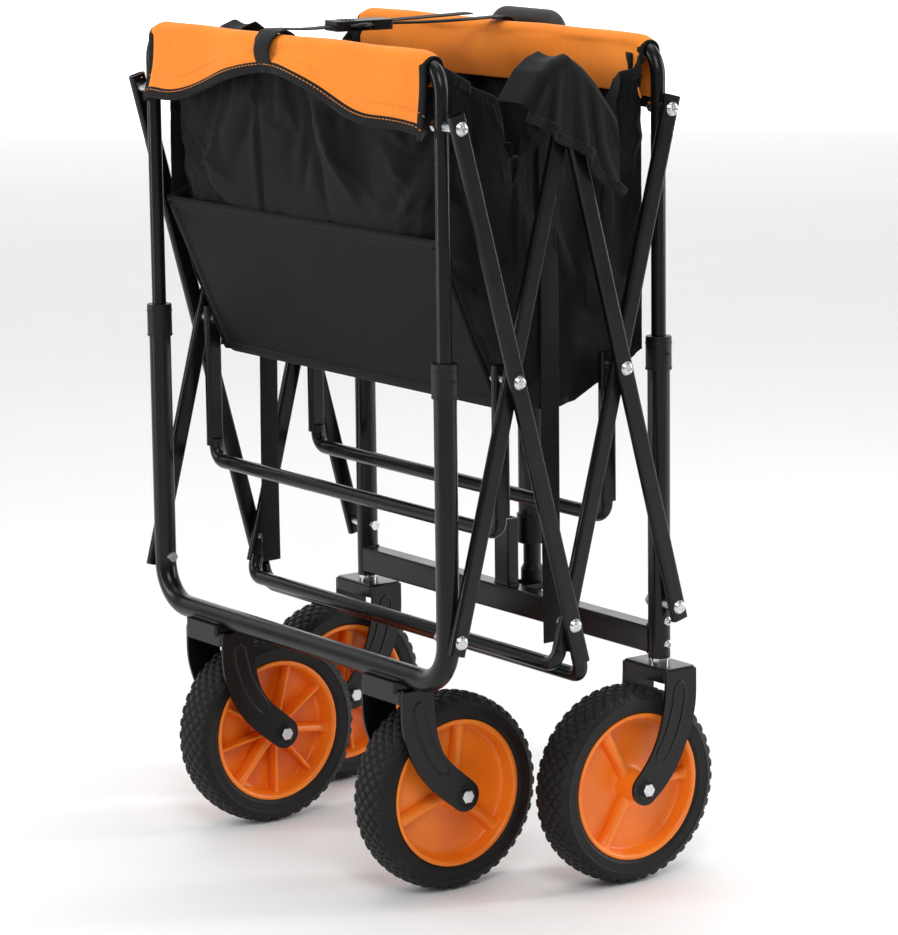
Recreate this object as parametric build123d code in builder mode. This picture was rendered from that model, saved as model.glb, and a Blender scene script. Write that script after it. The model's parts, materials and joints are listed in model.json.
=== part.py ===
from build123d import *
from math import atan2, cos, degrees, hypot, sin
import os

# Folding camp wagon, folded for storage. Millimetres. +X points to the pulling
# handle (front), +Y to the wagon's left, +Z up; the wheels stand on z = 0.

# ---- driving dimensions ---------------------------------------------------
post_spacing = 450.0        # between the left and right post axes
folded_spacing = 232.0      # between rear and front post axes when folded
wheel_radius = 89.0         # 7 inch wheels
low_pivot_z = 248.0         # lower pivots of the side bars
pivot_rise = 439.0          # from the lower pivots up to the upper pivots
unfold_angle = 41.0         # each side bar swings this far as the wagon opens

post_radius = 10.0          # lower posts and rear bottom bar
post_wall = 1.2
hoop_radius = 6.5           # thin upper tubes that slide in the posts
hoop_wall = 1.1
hoop_top_z = 740.0          # axis of the hoops' top bars
hoop_bend = 26.0
hoop_end_z = 449.0          # lower ends of the hoops' legs
post_top_z = 484.0          # cut end of the lower posts
collar_height = 30.0
collar_wall = 1.5
rear_bar_z = 205.0          # axis of the rear frame's bottom bar
rear_bend = 38.0
crossbar_height = 24.0      # front crossbar, rectangular tube
crossbar_depth = 19.0
crossbar_wall = 1.5
crossbar_z = 214.0
front_post_bottom_z = 198.0

bar_width = 16.0            # flattened side bars
bar_thickness = 8.0
bar_wall = 1.2
bar_round = 3.0
bar_overrun = 12.0          # bar past its end pivot
post_clearance = 1.5        # between a post and the bar beside it
bar_clearance = 0.8         # between two bars that cross
inner_plane = post_radius + post_clearance + bar_thickness / 2
outer_plane = inner_plane + bar_thickness + bar_clearance
rest_drop = 135.0           # from the scissor pivot down to a floor rest's bar
support_drop_rear = 50.0    # U frame bar past the bottom hub
support_drop_front = 38.0
frame_bar_radius = 6.5      # round cross bars of the U frames and rests
frame_bar_wall = 1.2
frame_bend = 14.0

bolt_radius = 3.0
running_gap = 0.05          # radial clearance of a turning or sliding fit
hub_gap = 0.3               # bottom hub, where the linkage is left open
head_radius = 5.6
head_height = 2.6
nut_radius = 5.0
nut_height = 4.0
spacer_radius = 5.0
side_gap = 0.2              # between faces that turn on each other

rear_wheel_reach = 55.0     # rear axle ahead of the rear bar
caster_trail = 40.0         # front axle behind its swivel axis
rear_wheel_y = 142.0
fork_inner = 28.5           # half the gap between fork arms
fork_plate = 2.5
crown_top_z = 193.5
crown_height = 12.5
crown_length = 36.0
axle_radius = 4.0
axle_head = 5.5             # half the hexagon's width across flats
axle_head_height = 5.0
lobe_radius = 14.5
stem_radius = 5.0

tyre_width = 42.0
rim_radius = 67.0
rim_width = 37.0
rim_flange = 3.5
hub_boss_radius = 13.0
tyre_crown = 5.0

handle_x_offset = 30.0      # handle axis ahead of the front posts
handle_pivot_z = 215.0
handle_tube_radius = 12.5
handle_inner_radius = 9.5
handle_wall = 1.2
handle_neck_radius = 8.2
handle_tube_bottom = 268.0
handle_tube_top = 668.0
handle_inner_overlap = 40.0
grip_width = 96.0
grip_top_z = 759.0
grip_bar_radius = 9.5
bracket_plate = 3.0
bracket_post_height = 64.0

cloth = 2.0                 # stand-in thickness of the fabric panels
cloth_gap = 0.8             # fabric stand-ins stay this far off the tubes
panel_y = 213.0             # side panels, off the centre plane
board_half_width = 211.0
board_thickness = 5.0
band_drop = 55.0            # end bands hang this far outside the hoops
webbing_width = 20.0
webbing_thickness = 1.6
closing_strap_y = 30.0      # strap over the folded wagon, at the rear
closing_strap_z = 752.5
closing_strap_anchor = 14.0  # its sewn ends, in from the post axes
buckle_start = 60.0
buckle_socket_length = 36.0
buckle_plug_length = 20.0
buckle_width = 27.0
buckle_height = 9.0

# ---- derived places -------------------------------------------------------
rear_x = -(rear_wheel_reach + folded_spacing - caster_trail) / 2
front_x = rear_x + folded_spacing
hub_x = (rear_x + front_x) / 2
half_track = post_spacing / 2
high_pivot_z = low_pivot_z + pivot_rise
bar_length = hypot(folded_spacing / 2, pivot_rise)
fold_tilt = atan2(folded_spacing / 2, pivot_rise)
cross_z = low_pivot_z + pivot_rise / 2
rear_cross_x = (rear_x + hub_x) / 2
front_cross_x = (front_x + hub_x) / 2
rear_axle_x = rear_x + rear_wheel_reach
front_axle_x = front_x - caster_trail
handle_x = front_x + handle_x_offset
post_bore = post_radius - post_wall
outer_face = outer_plane + bar_thickness / 2
inner_face = inner_plane + bar_thickness / 2
SIDES = {"left": 1, "right": -1}

os.makedirs("parts", exist_ok=True)


def save(part, name):
    part.label = name
    export_step(part, f"parts/{name}.step")


def side_y(side, outward):
    """Y of a point that lies outward from a post's axis, on one side."""
    return side * (half_track + outward)


# ---- bolts ----------------------------------------------------------------
def pivot_bolt(x, z, side, start, head_at, spacer=None):
    """Domed screw along Y with a nut at its inner end and a spacer on its shank."""
    with BuildPart() as bolt:
        with BuildSketch(Plane.XZ.offset(-side_y(side, start - nut_height))):
            with Locations((x, z)):
                Circle(bolt_radius)
        extrude(amount=-side * (head_at - start + nut_height))
        with BuildSketch(Plane.XZ.offset(-side_y(side, start - nut_height))):
            with Locations((x, z)):
                RegularPolygon(nut_radius, 6)
        extrude(amount=-side * nut_height)
        if spacer:
            with BuildSketch(Plane.XZ.offset(-side_y(side, spacer[0]))):
                with Locations((x, z)):
                    Circle(spacer_radius)
            extrude(amount=-side * (spacer[1] - spacer[0]))
        with BuildSketch(Plane.XZ.offset(-side_y(side, head_at))):
            with Locations((x, z)):
                Circle(head_radius)
        extrude(amount=-side * head_height)
        rim = bolt.edges().filter_by(GeomType.CIRCLE).sort_by(Axis.Y)[-1 if side > 0 else 0]
        chamfer(rim, head_height * 0.45)
    return bolt.part


def bolt_pair(name, places):
    """One node of separate bolts, left and right, for each (x, z, start, head, spacer)."""
    bolts = [
        pivot_bolt(x, z, side, start, head_at, spacer)
        for x, z, start, head_at, spacer in places
        for side in SIDES.values()
    ]
    save(Compound(children=bolts), name)


inner_head = inner_face + side_gap
outer_head = outer_face + side_gap
inner_back = inner_plane - bar_thickness / 2 - side_gap
outer_back = outer_plane - bar_thickness / 2 - side_gap
rest_half = bar_thickness / 2

bolt_pair("rear_lower_bolts", [
    (rear_x, low_pivot_z, -post_radius, inner_head, (post_radius, inner_back)),
])
bolt_pair("rear_upper_bolts", [
    (rear_x, high_pivot_z, -hoop_radius, outer_head, (hoop_radius, outer_back)),
])
bolt_pair("front_lower_bolts", [
    (front_x, low_pivot_z, -post_radius, outer_head, (post_radius, outer_back)),
])
bolt_pair("front_upper_bolts", [
    (front_x, high_pivot_z, -hoop_radius, inner_head, (hoop_radius, inner_back)),
])
bolt_pair("rear_lift_bolts", [
    (rear_cross_x, cross_z, -rest_half - side_gap, outer_head, (rest_half + side_gap, inner_back)),
    (hub_x, high_pivot_z, inner_back, outer_head, None),
])
bolt_pair("front_lift_bolts", [
    (front_cross_x, cross_z, -rest_half - side_gap, outer_head, (rest_half + side_gap, inner_back)),
])
bolt_pair("bottom_hub_bolts", [
    (hub_x, low_pivot_z, inner_back, outer_head, None),
])


# ---- tubes ----------------------------------------------------------------
def y_hole(x, z, side, outward, length, radius):
    """Cross-drilled hole, cut from the part being built."""
    with Locations((x, side_y(side, outward), z)):
        Cylinder(radius, length, rotation=(90, 0, 0), mode=Mode.SUBTRACT)


def bent_tube(points, bend, radius, wall):
    """Round tube bent along straight runs, built into the current part."""
    with BuildLine() as path:
        FilletPolyline(*points, radius=bend)
    line = path.line
    with BuildSketch(Plane(origin=line @ 0, z_dir=line % 0)) as ring:
        Circle(radius)
        Circle(radius - wall, mode=Mode.SUBTRACT)
    sweep(ring.sketch, path=line)


with BuildPart() as rear_u_frame:
    bent_tube(
        [
            (rear_x, half_track, post_top_z),
            (rear_x, half_track, rear_bar_z),
            (rear_x, -half_track, rear_bar_z),
            (rear_x, -half_track, post_top_z),
        ],
        rear_bend, post_radius, post_wall,
    )
    for side in SIDES.values():
        y_hole(rear_x, low_pivot_z, side, 0, 4 * post_radius, bolt_radius)
save(rear_u_frame.part, "rear_u_frame")

for name, x in (("rear_hoop", rear_x), ("front_hoop", front_x)):
    with BuildPart() as hoop:
        bent_tube(
            [
                (x, half_track, hoop_end_z),
                (x, half_track, hoop_top_z),
                (x, -half_track, hoop_top_z),
                (x, -half_track, hoop_end_z),
            ],
            hoop_bend, hoop_radius, hoop_wall,
        )
        for side in SIDES.values():
            y_hole(x, high_pivot_z, side, 0, 4 * hoop_radius, bolt_radius)
    save(hoop.part, name)

# Sliding plugs at the hoops' lower ends guide them in the posts.
plug_height = 20.0
plug_floor = 2.0
for name, x in (("rear_slide_plugs", rear_x), ("front_slide_plugs", front_x)):
    plugs = []
    for side in SIDES.values():
        with BuildPart() as plug:
            with BuildSketch(Plane.XY.offset(hoop_end_z - plug_floor)):
                with Locations((x, side * half_track)):
                    Circle(post_bore - running_gap)
            extrude(amount=plug_height)
            with BuildSketch(Plane.XY.offset(hoop_end_z)):
                with Locations((x, side * half_track)):
                    Circle(hoop_radius)
            extrude(amount=plug_height, mode=Mode.SUBTRACT)
        plugs.append(plug.part)
    save(Compound(children=plugs), name)

# Moulded collars cap the posts and guide the hoops' legs.
collar_cap = 3.0
for name, x in (("rear_collars", rear_x), ("front_collars", front_x)):
    collars = []
    for side in SIDES.values():
        with BuildPart() as collar:
            with BuildSketch(Plane.XY.offset(post_top_z + collar_cap - collar_height)):
                with Locations((x, side * half_track)):
                    Circle(post_radius + collar_wall)
            extrude(amount=collar_height)
            fillet(collar.edges().group_by(Axis.Z)[-1], 1.2)
            with BuildSketch(Plane.XY.offset(post_top_z + collar_cap - collar_height)):
                with Locations((x, side * half_track)):
                    Circle(post_radius)
            extrude(amount=collar_height - collar_cap, mode=Mode.SUBTRACT)
            with BuildSketch(Plane.XY.offset(post_top_z - 1)):
                with Locations((x, side * half_track)):
                    Circle(hoop_radius + running_gap)
            extrude(amount=collar_cap + 2, mode=Mode.SUBTRACT)
        collars.append(collar.part)
    save(Compound(children=collars), name)

# Front frame: two posts and a rectangular crossbar, welded, with caster bushes.
bush_height = 30.0
with BuildPart() as front_frame:
    for side in SIDES.values():
        with BuildSketch(Plane.XY.offset(front_post_bottom_z)):
            with Locations((front_x, side * half_track)):
                Circle(post_radius)
        extrude(amount=post_top_z - front_post_bottom_z)
    weld_end = half_track - post_radius / 2
    with BuildSketch(Plane.XZ.offset(-weld_end)):
        with Locations((front_x, crossbar_z)):
            RectangleRounded(crossbar_depth, crossbar_height, 2)
    extrude(amount=2 * weld_end)
    tube_end = half_track - (post_radius + post_bore) / 2
    with BuildSketch(Plane.XZ.offset(-tube_end)):
        with Locations((front_x, crossbar_z)):
            Rectangle(crossbar_depth - 2 * crossbar_wall, crossbar_height - 2 * crossbar_wall)
    extrude(amount=2 * tube_end, mode=Mode.SUBTRACT)
    with BuildSketch(Plane.XY.offset(front_post_bottom_z + bush_height)):
        with Locations((front_x, half_track), (front_x, -half_track)):
            Circle(post_bore)
    extrude(amount=post_top_z - front_post_bottom_z - bush_height, mode=Mode.SUBTRACT)
    with BuildSketch(Plane.XY.offset(front_post_bottom_z)):
        with Locations((front_x, half_track), (front_x, -half_track)):
            Circle(stem_radius + running_gap)
    extrude(amount=bush_height, mode=Mode.SUBTRACT)
    for side in SIDES.values():
        y_hole(front_x, low_pivot_z, side, 0, 4 * post_radius, bolt_radius)
save(front_frame.part, "front_frame")


# ---- side bars ------------------------------------------------------------
def along(x, z, tilt, distance):
    """Point at a distance up a bar that leans from the vertical by tilt."""
    return x + distance * sin(tilt), z + distance * cos(tilt)


def flat_bar(x, z, tilt, below, above, side, plane_out, holes):
    """Flattened tube through its pivot at (x, z); holes are (distance, radius) up the bar."""
    foot_x, foot_z = along(x, z, tilt, -below)
    y = side_y(side, plane_out)
    across = (cos(tilt), 0, -sin(tilt))
    with BuildSketch(Plane((foot_x, y, foot_z), x_dir=across, z_dir=(sin(tilt), 0, cos(tilt)))) as section:
        RectangleRounded(bar_width, bar_thickness, bar_round)
        RectangleRounded(bar_width - 2 * bar_wall, bar_thickness - 2 * bar_wall,
                         bar_round - bar_wall, mode=Mode.SUBTRACT)
    extrude(section.sketch, amount=below + above)
    for distance, radius in holes:
        hole_x, hole_z = along(x, z, tilt, distance)
        y_hole(hole_x, hole_z, side, plane_out, 2 * bar_thickness, radius)


turning = bolt_radius + running_gap
for name, side in SIDES.items():
    with BuildPart() as rear_lift_bar:
        flat_bar(rear_x, low_pivot_z, fold_tilt, bar_overrun, bar_length + bar_overrun, side, inner_plane,
                 [(0, turning), (bar_length / 2, bolt_radius), (bar_length, bolt_radius)])
    save(rear_lift_bar.part, f"rear_lift_bar_{name}")

    with BuildPart() as front_lift_bar:
        flat_bar(front_x, low_pivot_z, -fold_tilt, bar_overrun, bar_length + bar_overrun, side, outer_plane,
                 [(0, turning), (bar_length / 2, bolt_radius), (bar_length, turning)])
    save(front_lift_bar.part, f"front_lift_bar_{name}")


def u_frame(x, z, tilt, drop, leg_top, plane_out, holes):
    """Two flattened legs joined by a round bar, drop below the pivot at (x, z).

    leg_top is the legs' upper end past that pivot, measured up the leg.
    """
    leg_foot = drop - frame_bend
    bar_x, bar_z = along(x, z, tilt, -drop)
    knee_x, knee_z = along(x, z, tilt, -leg_foot + frame_bar_radius)
    outer_y = half_track + plane_out + bar_thickness / 2 - frame_bar_radius
    with BuildPart() as frame:
        bent_tube(
            [(knee_x, outer_y, knee_z), (bar_x, outer_y, bar_z),
             (bar_x, -outer_y, bar_z), (knee_x, -outer_y, knee_z)],
            frame_bend - 0.5, frame_bar_radius, frame_bar_wall,
        )
        for side in SIDES.values():
            flat_bar(x, z, tilt, leg_foot, leg_top, side, plane_out, holes)
    return frame.part


save(u_frame(hub_x, low_pivot_z, -fold_tilt, support_drop_rear, bar_length + bar_overrun, outer_plane,
             [(0, bolt_radius), (bar_length / 2, turning), (bar_length, turning)]),
     "rear_support_frame")
save(u_frame(hub_x, low_pivot_z, fold_tilt, support_drop_front, bar_length + bar_overrun, inner_plane,
             [(0, bolt_radius + hub_gap), (bar_length / 2, turning), (bar_length, turning)]),
     "front_support_frame")
save(u_frame(rear_cross_x, cross_z, 0.0, rest_drop, bar_overrun, 0.0, [(0, turning)]), "rear_floor_rest")
save(u_frame(front_cross_x, cross_z, 0.0, rest_drop, bar_overrun, 0.0, [(0, turning)]), "front_floor_rest")


# ---- forks, axles and wheels ----------------------------------------------
crown_corner = 5.0
crown_round = 2.5
crown_roof = 3.5            # thickness of the crown's top
arm_root = 2.0              # arms start this far below the crown's top
arm_straight = 34.0         # their rear edge runs straight down to here
arm_sweep = 66.0            # and bends forward from here
front_straight = 32.0
front_sweep = 58.0
saddle_overlap = 6.0        # longer than the crown, narrower than the arms' gap
saddle_root = 3.0
saddle_hold = 0.45          # share of the bar's radius left clear below its axis


def fork(top_x, axle_x, y, saddle):
    """Pressed fork: a hollow crown with two curved arms that end in axle lobes."""
    lean = axle_x - top_x
    way = 1 if lean > 0 else -1
    arm_top = crown_top_z - arm_root
    reach = abs(lean)
    half = crown_length / 2
    back = [(-half + 1, arm_top), (-half + 2, arm_top - arm_straight), (reach * 0.10 - 10, arm_top - arm_sweep)]
    front = [(half - 1, arm_top), (half + 1, arm_top - front_straight), (half + 8, arm_top - front_sweep)]
    with BuildPart() as body:
        with BuildSketch(Plane.XY.offset(crown_top_z - crown_height)):
            with Locations((top_x, y)):
                RectangleRounded(crown_length, 2 * (fork_inner + fork_plate), crown_corner)
        extrude(amount=crown_height)
        fillet(body.edges().group_by(Axis.Z)[-1], crown_round)
        with BuildSketch(Plane.XY.offset(crown_top_z - crown_height)):
            with Locations((top_x, y)):
                Rectangle(crown_length - 2 * fork_plate, 2 * fork_inner)
        extrude(amount=crown_height - crown_roof, mode=Mode.SUBTRACT)
        for side in (1, -1):
            start = y + side * fork_inner
            with BuildSketch(Plane.XZ.offset(-start)) as arm:
                with BuildLine():
                    left = [(top_x + way * px, pz) for px, pz in back]
                    right = [(top_x + way * px, pz) for px, pz in front]
                    lobe_low = (axle_x - way * lobe_radius * 0.72, wheel_radius - lobe_radius * 0.69)
                    lobe_high = (axle_x + way * lobe_radius * 0.72, wheel_radius + lobe_radius * 0.69)
                    down = Spline(*left, lobe_low, tangents=((0, -1), (way * 0.8, -0.6)))
                    up = Spline(*right, lobe_high, tangents=((0, -1), (way * 0.72, -0.69)))
                    Line(down @ 0, up @ 0)
                    ThreePointArc(
                        lobe_low,
                        (axle_x + way * lobe_radius * 0.71, wheel_radius - lobe_radius * 0.70),
                        lobe_high,
                    )
                make_face()
                with Locations((axle_x, wheel_radius)):
                    Circle(axle_radius, mode=Mode.SUBTRACT)
            extrude(amount=-side * fork_plate)
        if saddle:
            with BuildSketch(Plane.XY.offset(crown_top_z - saddle_root)):
                with Locations((top_x, y)):
                    RectangleRounded(crown_length + saddle_overlap, 2 * fork_inner - saddle_overlap, 3)
            extrude(amount=rear_bar_z - crown_top_z + saddle_root)
            with BuildSketch(Plane.XZ.offset(-(y - fork_inner))):
                with Locations((rear_x, rear_bar_z)):
                    Circle(post_radius)
            extrude(amount=-2 * fork_inner, mode=Mode.SUBTRACT)
            with BuildSketch(Plane.XY.offset(rear_bar_z - post_radius * saddle_hold)):
                with Locations((top_x, y)):
                    Rectangle(2 * crown_length, 4 * fork_inner)
            extrude(amount=post_radius, mode=Mode.SUBTRACT)
        else:
            with Locations((top_x, y, crown_top_z)):
                Cylinder(stem_radius, 30, mode=Mode.SUBTRACT)
    return body.part


def axle(x, y):
    """Axle bolt along Y with its hexagon head and nut."""
    reach = fork_inner + fork_plate
    with BuildPart() as bolt:
        with Locations((x, y, wheel_radius)):
            Cylinder(axle_radius, 2 * reach + 2, rotation=(90, 0, 0))
        for end in (1, -1):
            with BuildSketch(Plane.XZ.offset(-(y + end * reach))):
                with Locations((x, wheel_radius)):
                    RegularPolygon(axle_head, 6, major_radius=False)
            extrude(amount=-end * axle_head_height)
            face = bolt.faces().sort_by(Axis.Y)[-1 if end > 0 else 0]
            chamfer(face.edges(), 0.7)
    return bolt.part


wheel_gap = 0.4
web_back = -5.0             # the web's inner face, off the wheel's middle plane
web_thickness = 4.0
spoke_count = 3
spoke_width = 15.0
spoke_rise = 5.0
rib_count = 9
rib_width = 2.6
rib_rise = 13.0
spoke_start_angle = 90
rib_start_angle = 10
barrel_wall = 4.0
lip_depth = 6.0             # the barrel's flare behind each lip
lip_width = 5.0
tread_edge = 3.0            # tread narrower than the tyre, each side
wall_bulge = 8.0            # the side wall is widest this far out from the rim


def wheel(name, x, y, side):
    """Moulded rim, broad spokes outside and thin ribs inside, and a solid rubber tyre."""
    half = rim_width / 2
    hub_half = fork_inner - wheel_gap
    bore = axle_radius + running_gap
    seat = rim_radius - rim_flange
    barrel = seat - barrel_wall
    arm_length = barrel - hub_boss_radius + 3
    place = Location((x, y, wheel_radius), (0, 0, 0 if side < 0 else 180))
    with BuildPart() as rim:
        with BuildSketch(Plane.XY):
            with Locations((bore, 0)):
                Rectangle(hub_boss_radius - bore, 2 * hub_half, align=(Align.MIN, Align.CENTER))
            with Locations((bore, web_back)):
                Rectangle(barrel - bore + 1, web_thickness, align=(Align.MIN, Align.MAX))
            with BuildLine():
                Polyline(
                    (seat, -half + rim_flange), (rim_radius, -half), (rim_radius - lip_width, -half),
                    (barrel, -half + lip_depth), (barrel, half - lip_depth), (rim_radius - lip_width, half),
                    (rim_radius, half), (seat, half - rim_flange), close=True,
                )
            make_face()
        revolve(axis=Axis.Y)
        with BuildSketch(Plane.XZ.offset(web_thickness - web_back)):
            with PolarLocations(hub_boss_radius - 2, spoke_count, start_angle=spoke_start_angle):
                Rectangle(arm_length, spoke_width, align=(Align.MIN, Align.CENTER))
        extrude(amount=spoke_rise)
        with BuildSketch(Plane.XZ.offset(-web_back)):
            with PolarLocations(hub_boss_radius - 2, rib_count, start_angle=rib_start_angle):
                Rectangle(arm_length, rib_width, align=(Align.MIN, Align.CENTER))
        extrude(amount=-rib_rise)
    save(rim.part.moved(place), f"{name}_rim")
    tread = tyre_width / 2 - tread_edge
    with BuildPart() as tyre:
        with BuildSketch(Plane.XY):
            with BuildLine():
                shoulder = wheel_radius - tyre_crown
                Polyline((rim_radius, half), (seat, half - rim_flange), (seat, -half + rim_flange),
                         (rim_radius, -half))
                ThreePointArc((rim_radius, -half), (rim_radius + wall_bulge, -tyre_width / 2), (shoulder, -tread))
                ThreePointArc((shoulder, -tread), (wheel_radius, 0), (shoulder, tread))
                ThreePointArc((shoulder, tread), (rim_radius + wall_bulge, tyre_width / 2), (rim_radius, half))
            make_face()
        revolve(axis=Axis.Y)
    save(tyre.part.moved(place), f"{name}_tyre")


fork_offset = 5.0           # rear forks stand a little ahead of the bar
stem_nut = 8.0              # circumradius
stem_nut_height = 4.0
rear_axles = []
for name, side in SIDES.items():
    save(fork(rear_x + fork_offset, rear_axle_x, side * rear_wheel_y, True), f"rear_fork_{name}")
    save(fork(front_x, front_axle_x, side * half_track, False), f"caster_fork_{name}")
    rear_axles.append(axle(rear_axle_x, side * rear_wheel_y))
    caster_axle = axle(front_axle_x, side * half_track)
    wheel(f"rear_wheel_{name}", rear_axle_x, side * rear_wheel_y, side)
    wheel(f"front_wheel_{name}", front_axle_x, side * half_track, side)
    # Swivel stem: shank up into the post's bush, a bright washer and a nut below.
    with BuildPart() as stem:
        with BuildSketch(Plane.XY.offset(crown_top_z - 2 * stem_nut_height)):
            with Locations((front_x, side * half_track)):
                Circle(stem_radius)
        extrude(amount=front_post_bottom_z + bush_height - 2 - crown_top_z + 2 * stem_nut_height)
        with BuildSketch(Plane.XY.offset(crown_top_z)):
            with Locations((front_x, side * half_track)):
                Circle(post_radius - 0.5)
        extrude(amount=front_post_bottom_z - crown_top_z - side_gap)
        with BuildSketch(Plane.XY.offset(crown_top_z - crown_roof - stem_nut_height)):
            with Locations((front_x, side * half_track)):
                RegularPolygon(stem_nut, 6)
        extrude(amount=stem_nut_height)
    save(Compound(children=[caster_axle, stem.part]), f"caster_bolts_{name}")
save(Compound(children=rear_axles), "rear_axles")


# ---- pull handle ----------------------------------------------------------
pivot_length = 30.0
cheek_gap = 22.4
cheek_reach = handle_x - front_x + 11
cheek_height = crossbar_height - 4
stay_depth = crossbar_depth - 6
stay_width = 22.0
stay_wall = 2.0
bolt_head = 2.6
with BuildPart() as handle_bracket:
    for way in (1, -1):
        with BuildSketch(Plane.XZ.offset(-way * cheek_gap / 2)):
            with Locations(((front_x + crossbar_depth / 2 + front_x + cheek_reach) / 2, handle_pivot_z)):
                RectangleRounded(cheek_reach - crossbar_depth / 2, cheek_height, 4)
            with Locations((handle_x, handle_pivot_z)):
                Circle(bolt_radius, mode=Mode.SUBTRACT)
        extrude(amount=-way * bracket_plate)
    with Locations((front_x + crossbar_depth / 2 + bracket_plate / 2, 0, handle_pivot_z)):
        Box(bracket_plate, cheek_gap + 2 * bracket_plate, cheek_height)

# Upright channel welded on the crossbar, which the stored handle leans against.
with BuildPart() as handle_stay:
    with BuildSketch(Plane.XY.offset(crossbar_z + crossbar_height / 2)):
        with Locations((front_x, 0)):
            RectangleRounded(stay_depth, stay_width, stay_wall)
            Rectangle(stay_depth - 2 * stay_wall, stay_width - 2 * stay_wall, mode=Mode.SUBTRACT)
    extrude(amount=bracket_post_height)
save(Compound(children=[handle_bracket.part, handle_stay.part]), "handle_bracket")

with BuildPart() as handle_bolt:
    with Locations((handle_x, 0, handle_pivot_z)):
        Cylinder(bolt_radius, pivot_length, rotation=(90, 0, 0))
    for way in (1, -1):
        with BuildSketch(Plane.XZ.offset(-way * (cheek_gap / 2 + bracket_plate))):
            with Locations((handle_x, handle_pivot_z)):
                Circle(nut_radius)
        extrude(amount=-way * bolt_head)
save(handle_bolt.part, "handle_bolt")

# Foot: a flared collar on the pivot with a round neck that the tube's end cap sits on.
knuckle_radius = 9.0
cheek_play = 0.4            # each side of the foot, between the cheeks
flare_radius = 10.7
foot_top = handle_tube_bottom - 6
with BuildPart() as handle_foot:
    with BuildSketch(Plane.XZ.offset(-(cheek_gap / 2 - cheek_play))):
        with Locations((handle_x, handle_pivot_z)):
            Circle(knuckle_radius)
    extrude(amount=cheek_gap - 2 * cheek_play)
    with BuildSketch(Plane.XZ) as flare:
        with BuildLine():
            Polyline(
                (handle_x, handle_pivot_z), (handle_x + 8, handle_pivot_z),
                (handle_x + flare_radius, handle_pivot_z + 13), (handle_x + flare_radius, handle_pivot_z + 22),
                (handle_x + handle_neck_radius, handle_pivot_z + 27),
                (handle_x + handle_neck_radius, foot_top),
                (handle_x, foot_top), close=True,
            )
        make_face()
    revolve(axis=Axis((handle_x, 0, 0), (0, 0, 1)))
    with Locations((handle_x, 0, handle_pivot_z)):
        Cylinder(bolt_radius + running_gap, pivot_length, rotation=(90, 0, 0), mode=Mode.SUBTRACT)
save(handle_foot.part, "handle_foot")

cap_height = 28.0
cap_wall = 1.6
with BuildPart() as handle_cap:
    with BuildSketch(Plane.XY.offset(foot_top)):
        with Locations((handle_x, 0)):
            Circle(handle_tube_radius + cap_wall)
    extrude(amount=cap_height)
    fillet(handle_cap.edges().filter_by(GeomType.CIRCLE).group_by(Axis.Z)[-1], 1.0)
    fillet(handle_cap.edges().filter_by(GeomType.CIRCLE).group_by(Axis.Z)[0], 2.0)
    with BuildSketch(Plane.XY.offset(handle_tube_bottom)):
        with Locations((handle_x, 0)):
            Circle(handle_tube_radius)
    extrude(amount=cap_height, mode=Mode.SUBTRACT)
save(handle_cap.part, "handle_cap")

inner_tube_rise = 30.0      # the inner tube's foot above the outer's
for name, radius, bottom, top in (
    ("handle_outer_tube", handle_tube_radius, handle_tube_bottom, handle_tube_top),
    ("handle_inner_tube", handle_inner_radius, handle_tube_bottom + inner_tube_rise,
     handle_tube_top + handle_inner_overlap),
):
    with BuildPart() as tube:
        with BuildSketch(Plane.XY.offset(bottom)):
            with Locations((handle_x, 0)):
                Circle(radius)
                Circle(radius - handle_wall, mode=Mode.SUBTRACT)
        extrude(amount=top - bottom)
    save(tube.part, name)

# Guide ring pressed into the outer tube's mouth; the inner tube slides in it.
guide_depth = 20.0
guide_lip = 1.4
guide_lip_height = 5.0
with BuildPart() as handle_guide:
    with BuildSketch(Plane.XY.offset(handle_tube_top - guide_depth)):
        with Locations((handle_x, 0)):
            Circle(handle_tube_radius - handle_wall)
    extrude(amount=guide_depth)
    with BuildSketch(Plane.XY.offset(handle_tube_top)):
        with Locations((handle_x, 0)):
            Circle(handle_tube_radius + guide_lip)
    extrude(amount=guide_lip_height)
    with BuildSketch(Plane.XY.offset(handle_tube_top - guide_depth - 1)):
        with Locations((handle_x, 0)):
            Circle(handle_inner_radius + running_gap)
    extrude(amount=guide_depth + 2 * guide_lip_height, mode=Mode.SUBTRACT)
save(handle_guide.part, "handle_guide")

# Loop grip: a bent bar closed by a socket over the inner tube.
grip_socket_depth = 26.0
grip_bend = 13.0
grip_taper = 6.0            # the arch is narrower than the foot, each side
grip_base_z = handle_tube_top + handle_inner_overlap - grip_socket_depth
with BuildPart() as handle_grip:
    arch_z = grip_top_z - grip_bar_radius
    foot_z = grip_base_z + 12
    with BuildLine() as loop:
        FilletPolyline(
            (handle_x, 2, foot_z), (handle_x, grip_width / 2, foot_z),
            (handle_x, grip_width / 2 - grip_taper, arch_z), (handle_x, -grip_width / 2 + grip_taper, arch_z),
            (handle_x, -grip_width / 2, foot_z), (handle_x, -2, foot_z),
            radius=grip_bend,
        )
    with BuildSketch(Plane(origin=loop.line @ 0, z_dir=loop.line % 0)):
        Circle(grip_bar_radius)
    sweep(path=loop.line)
    with BuildSketch(Plane.XY.offset(grip_base_z)):
        with Locations((handle_x, 0)):
            Circle(handle_tube_radius + 1)
    extrude(amount=grip_socket_depth + 4)
    with BuildSketch(Plane.XY.offset(grip_base_z)):
        with Locations((handle_x, 0)):
            Circle(handle_inner_radius)
    extrude(amount=grip_socket_depth, mode=Mode.SUBTRACT)
save(handle_grip.part, "handle_grip")


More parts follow.
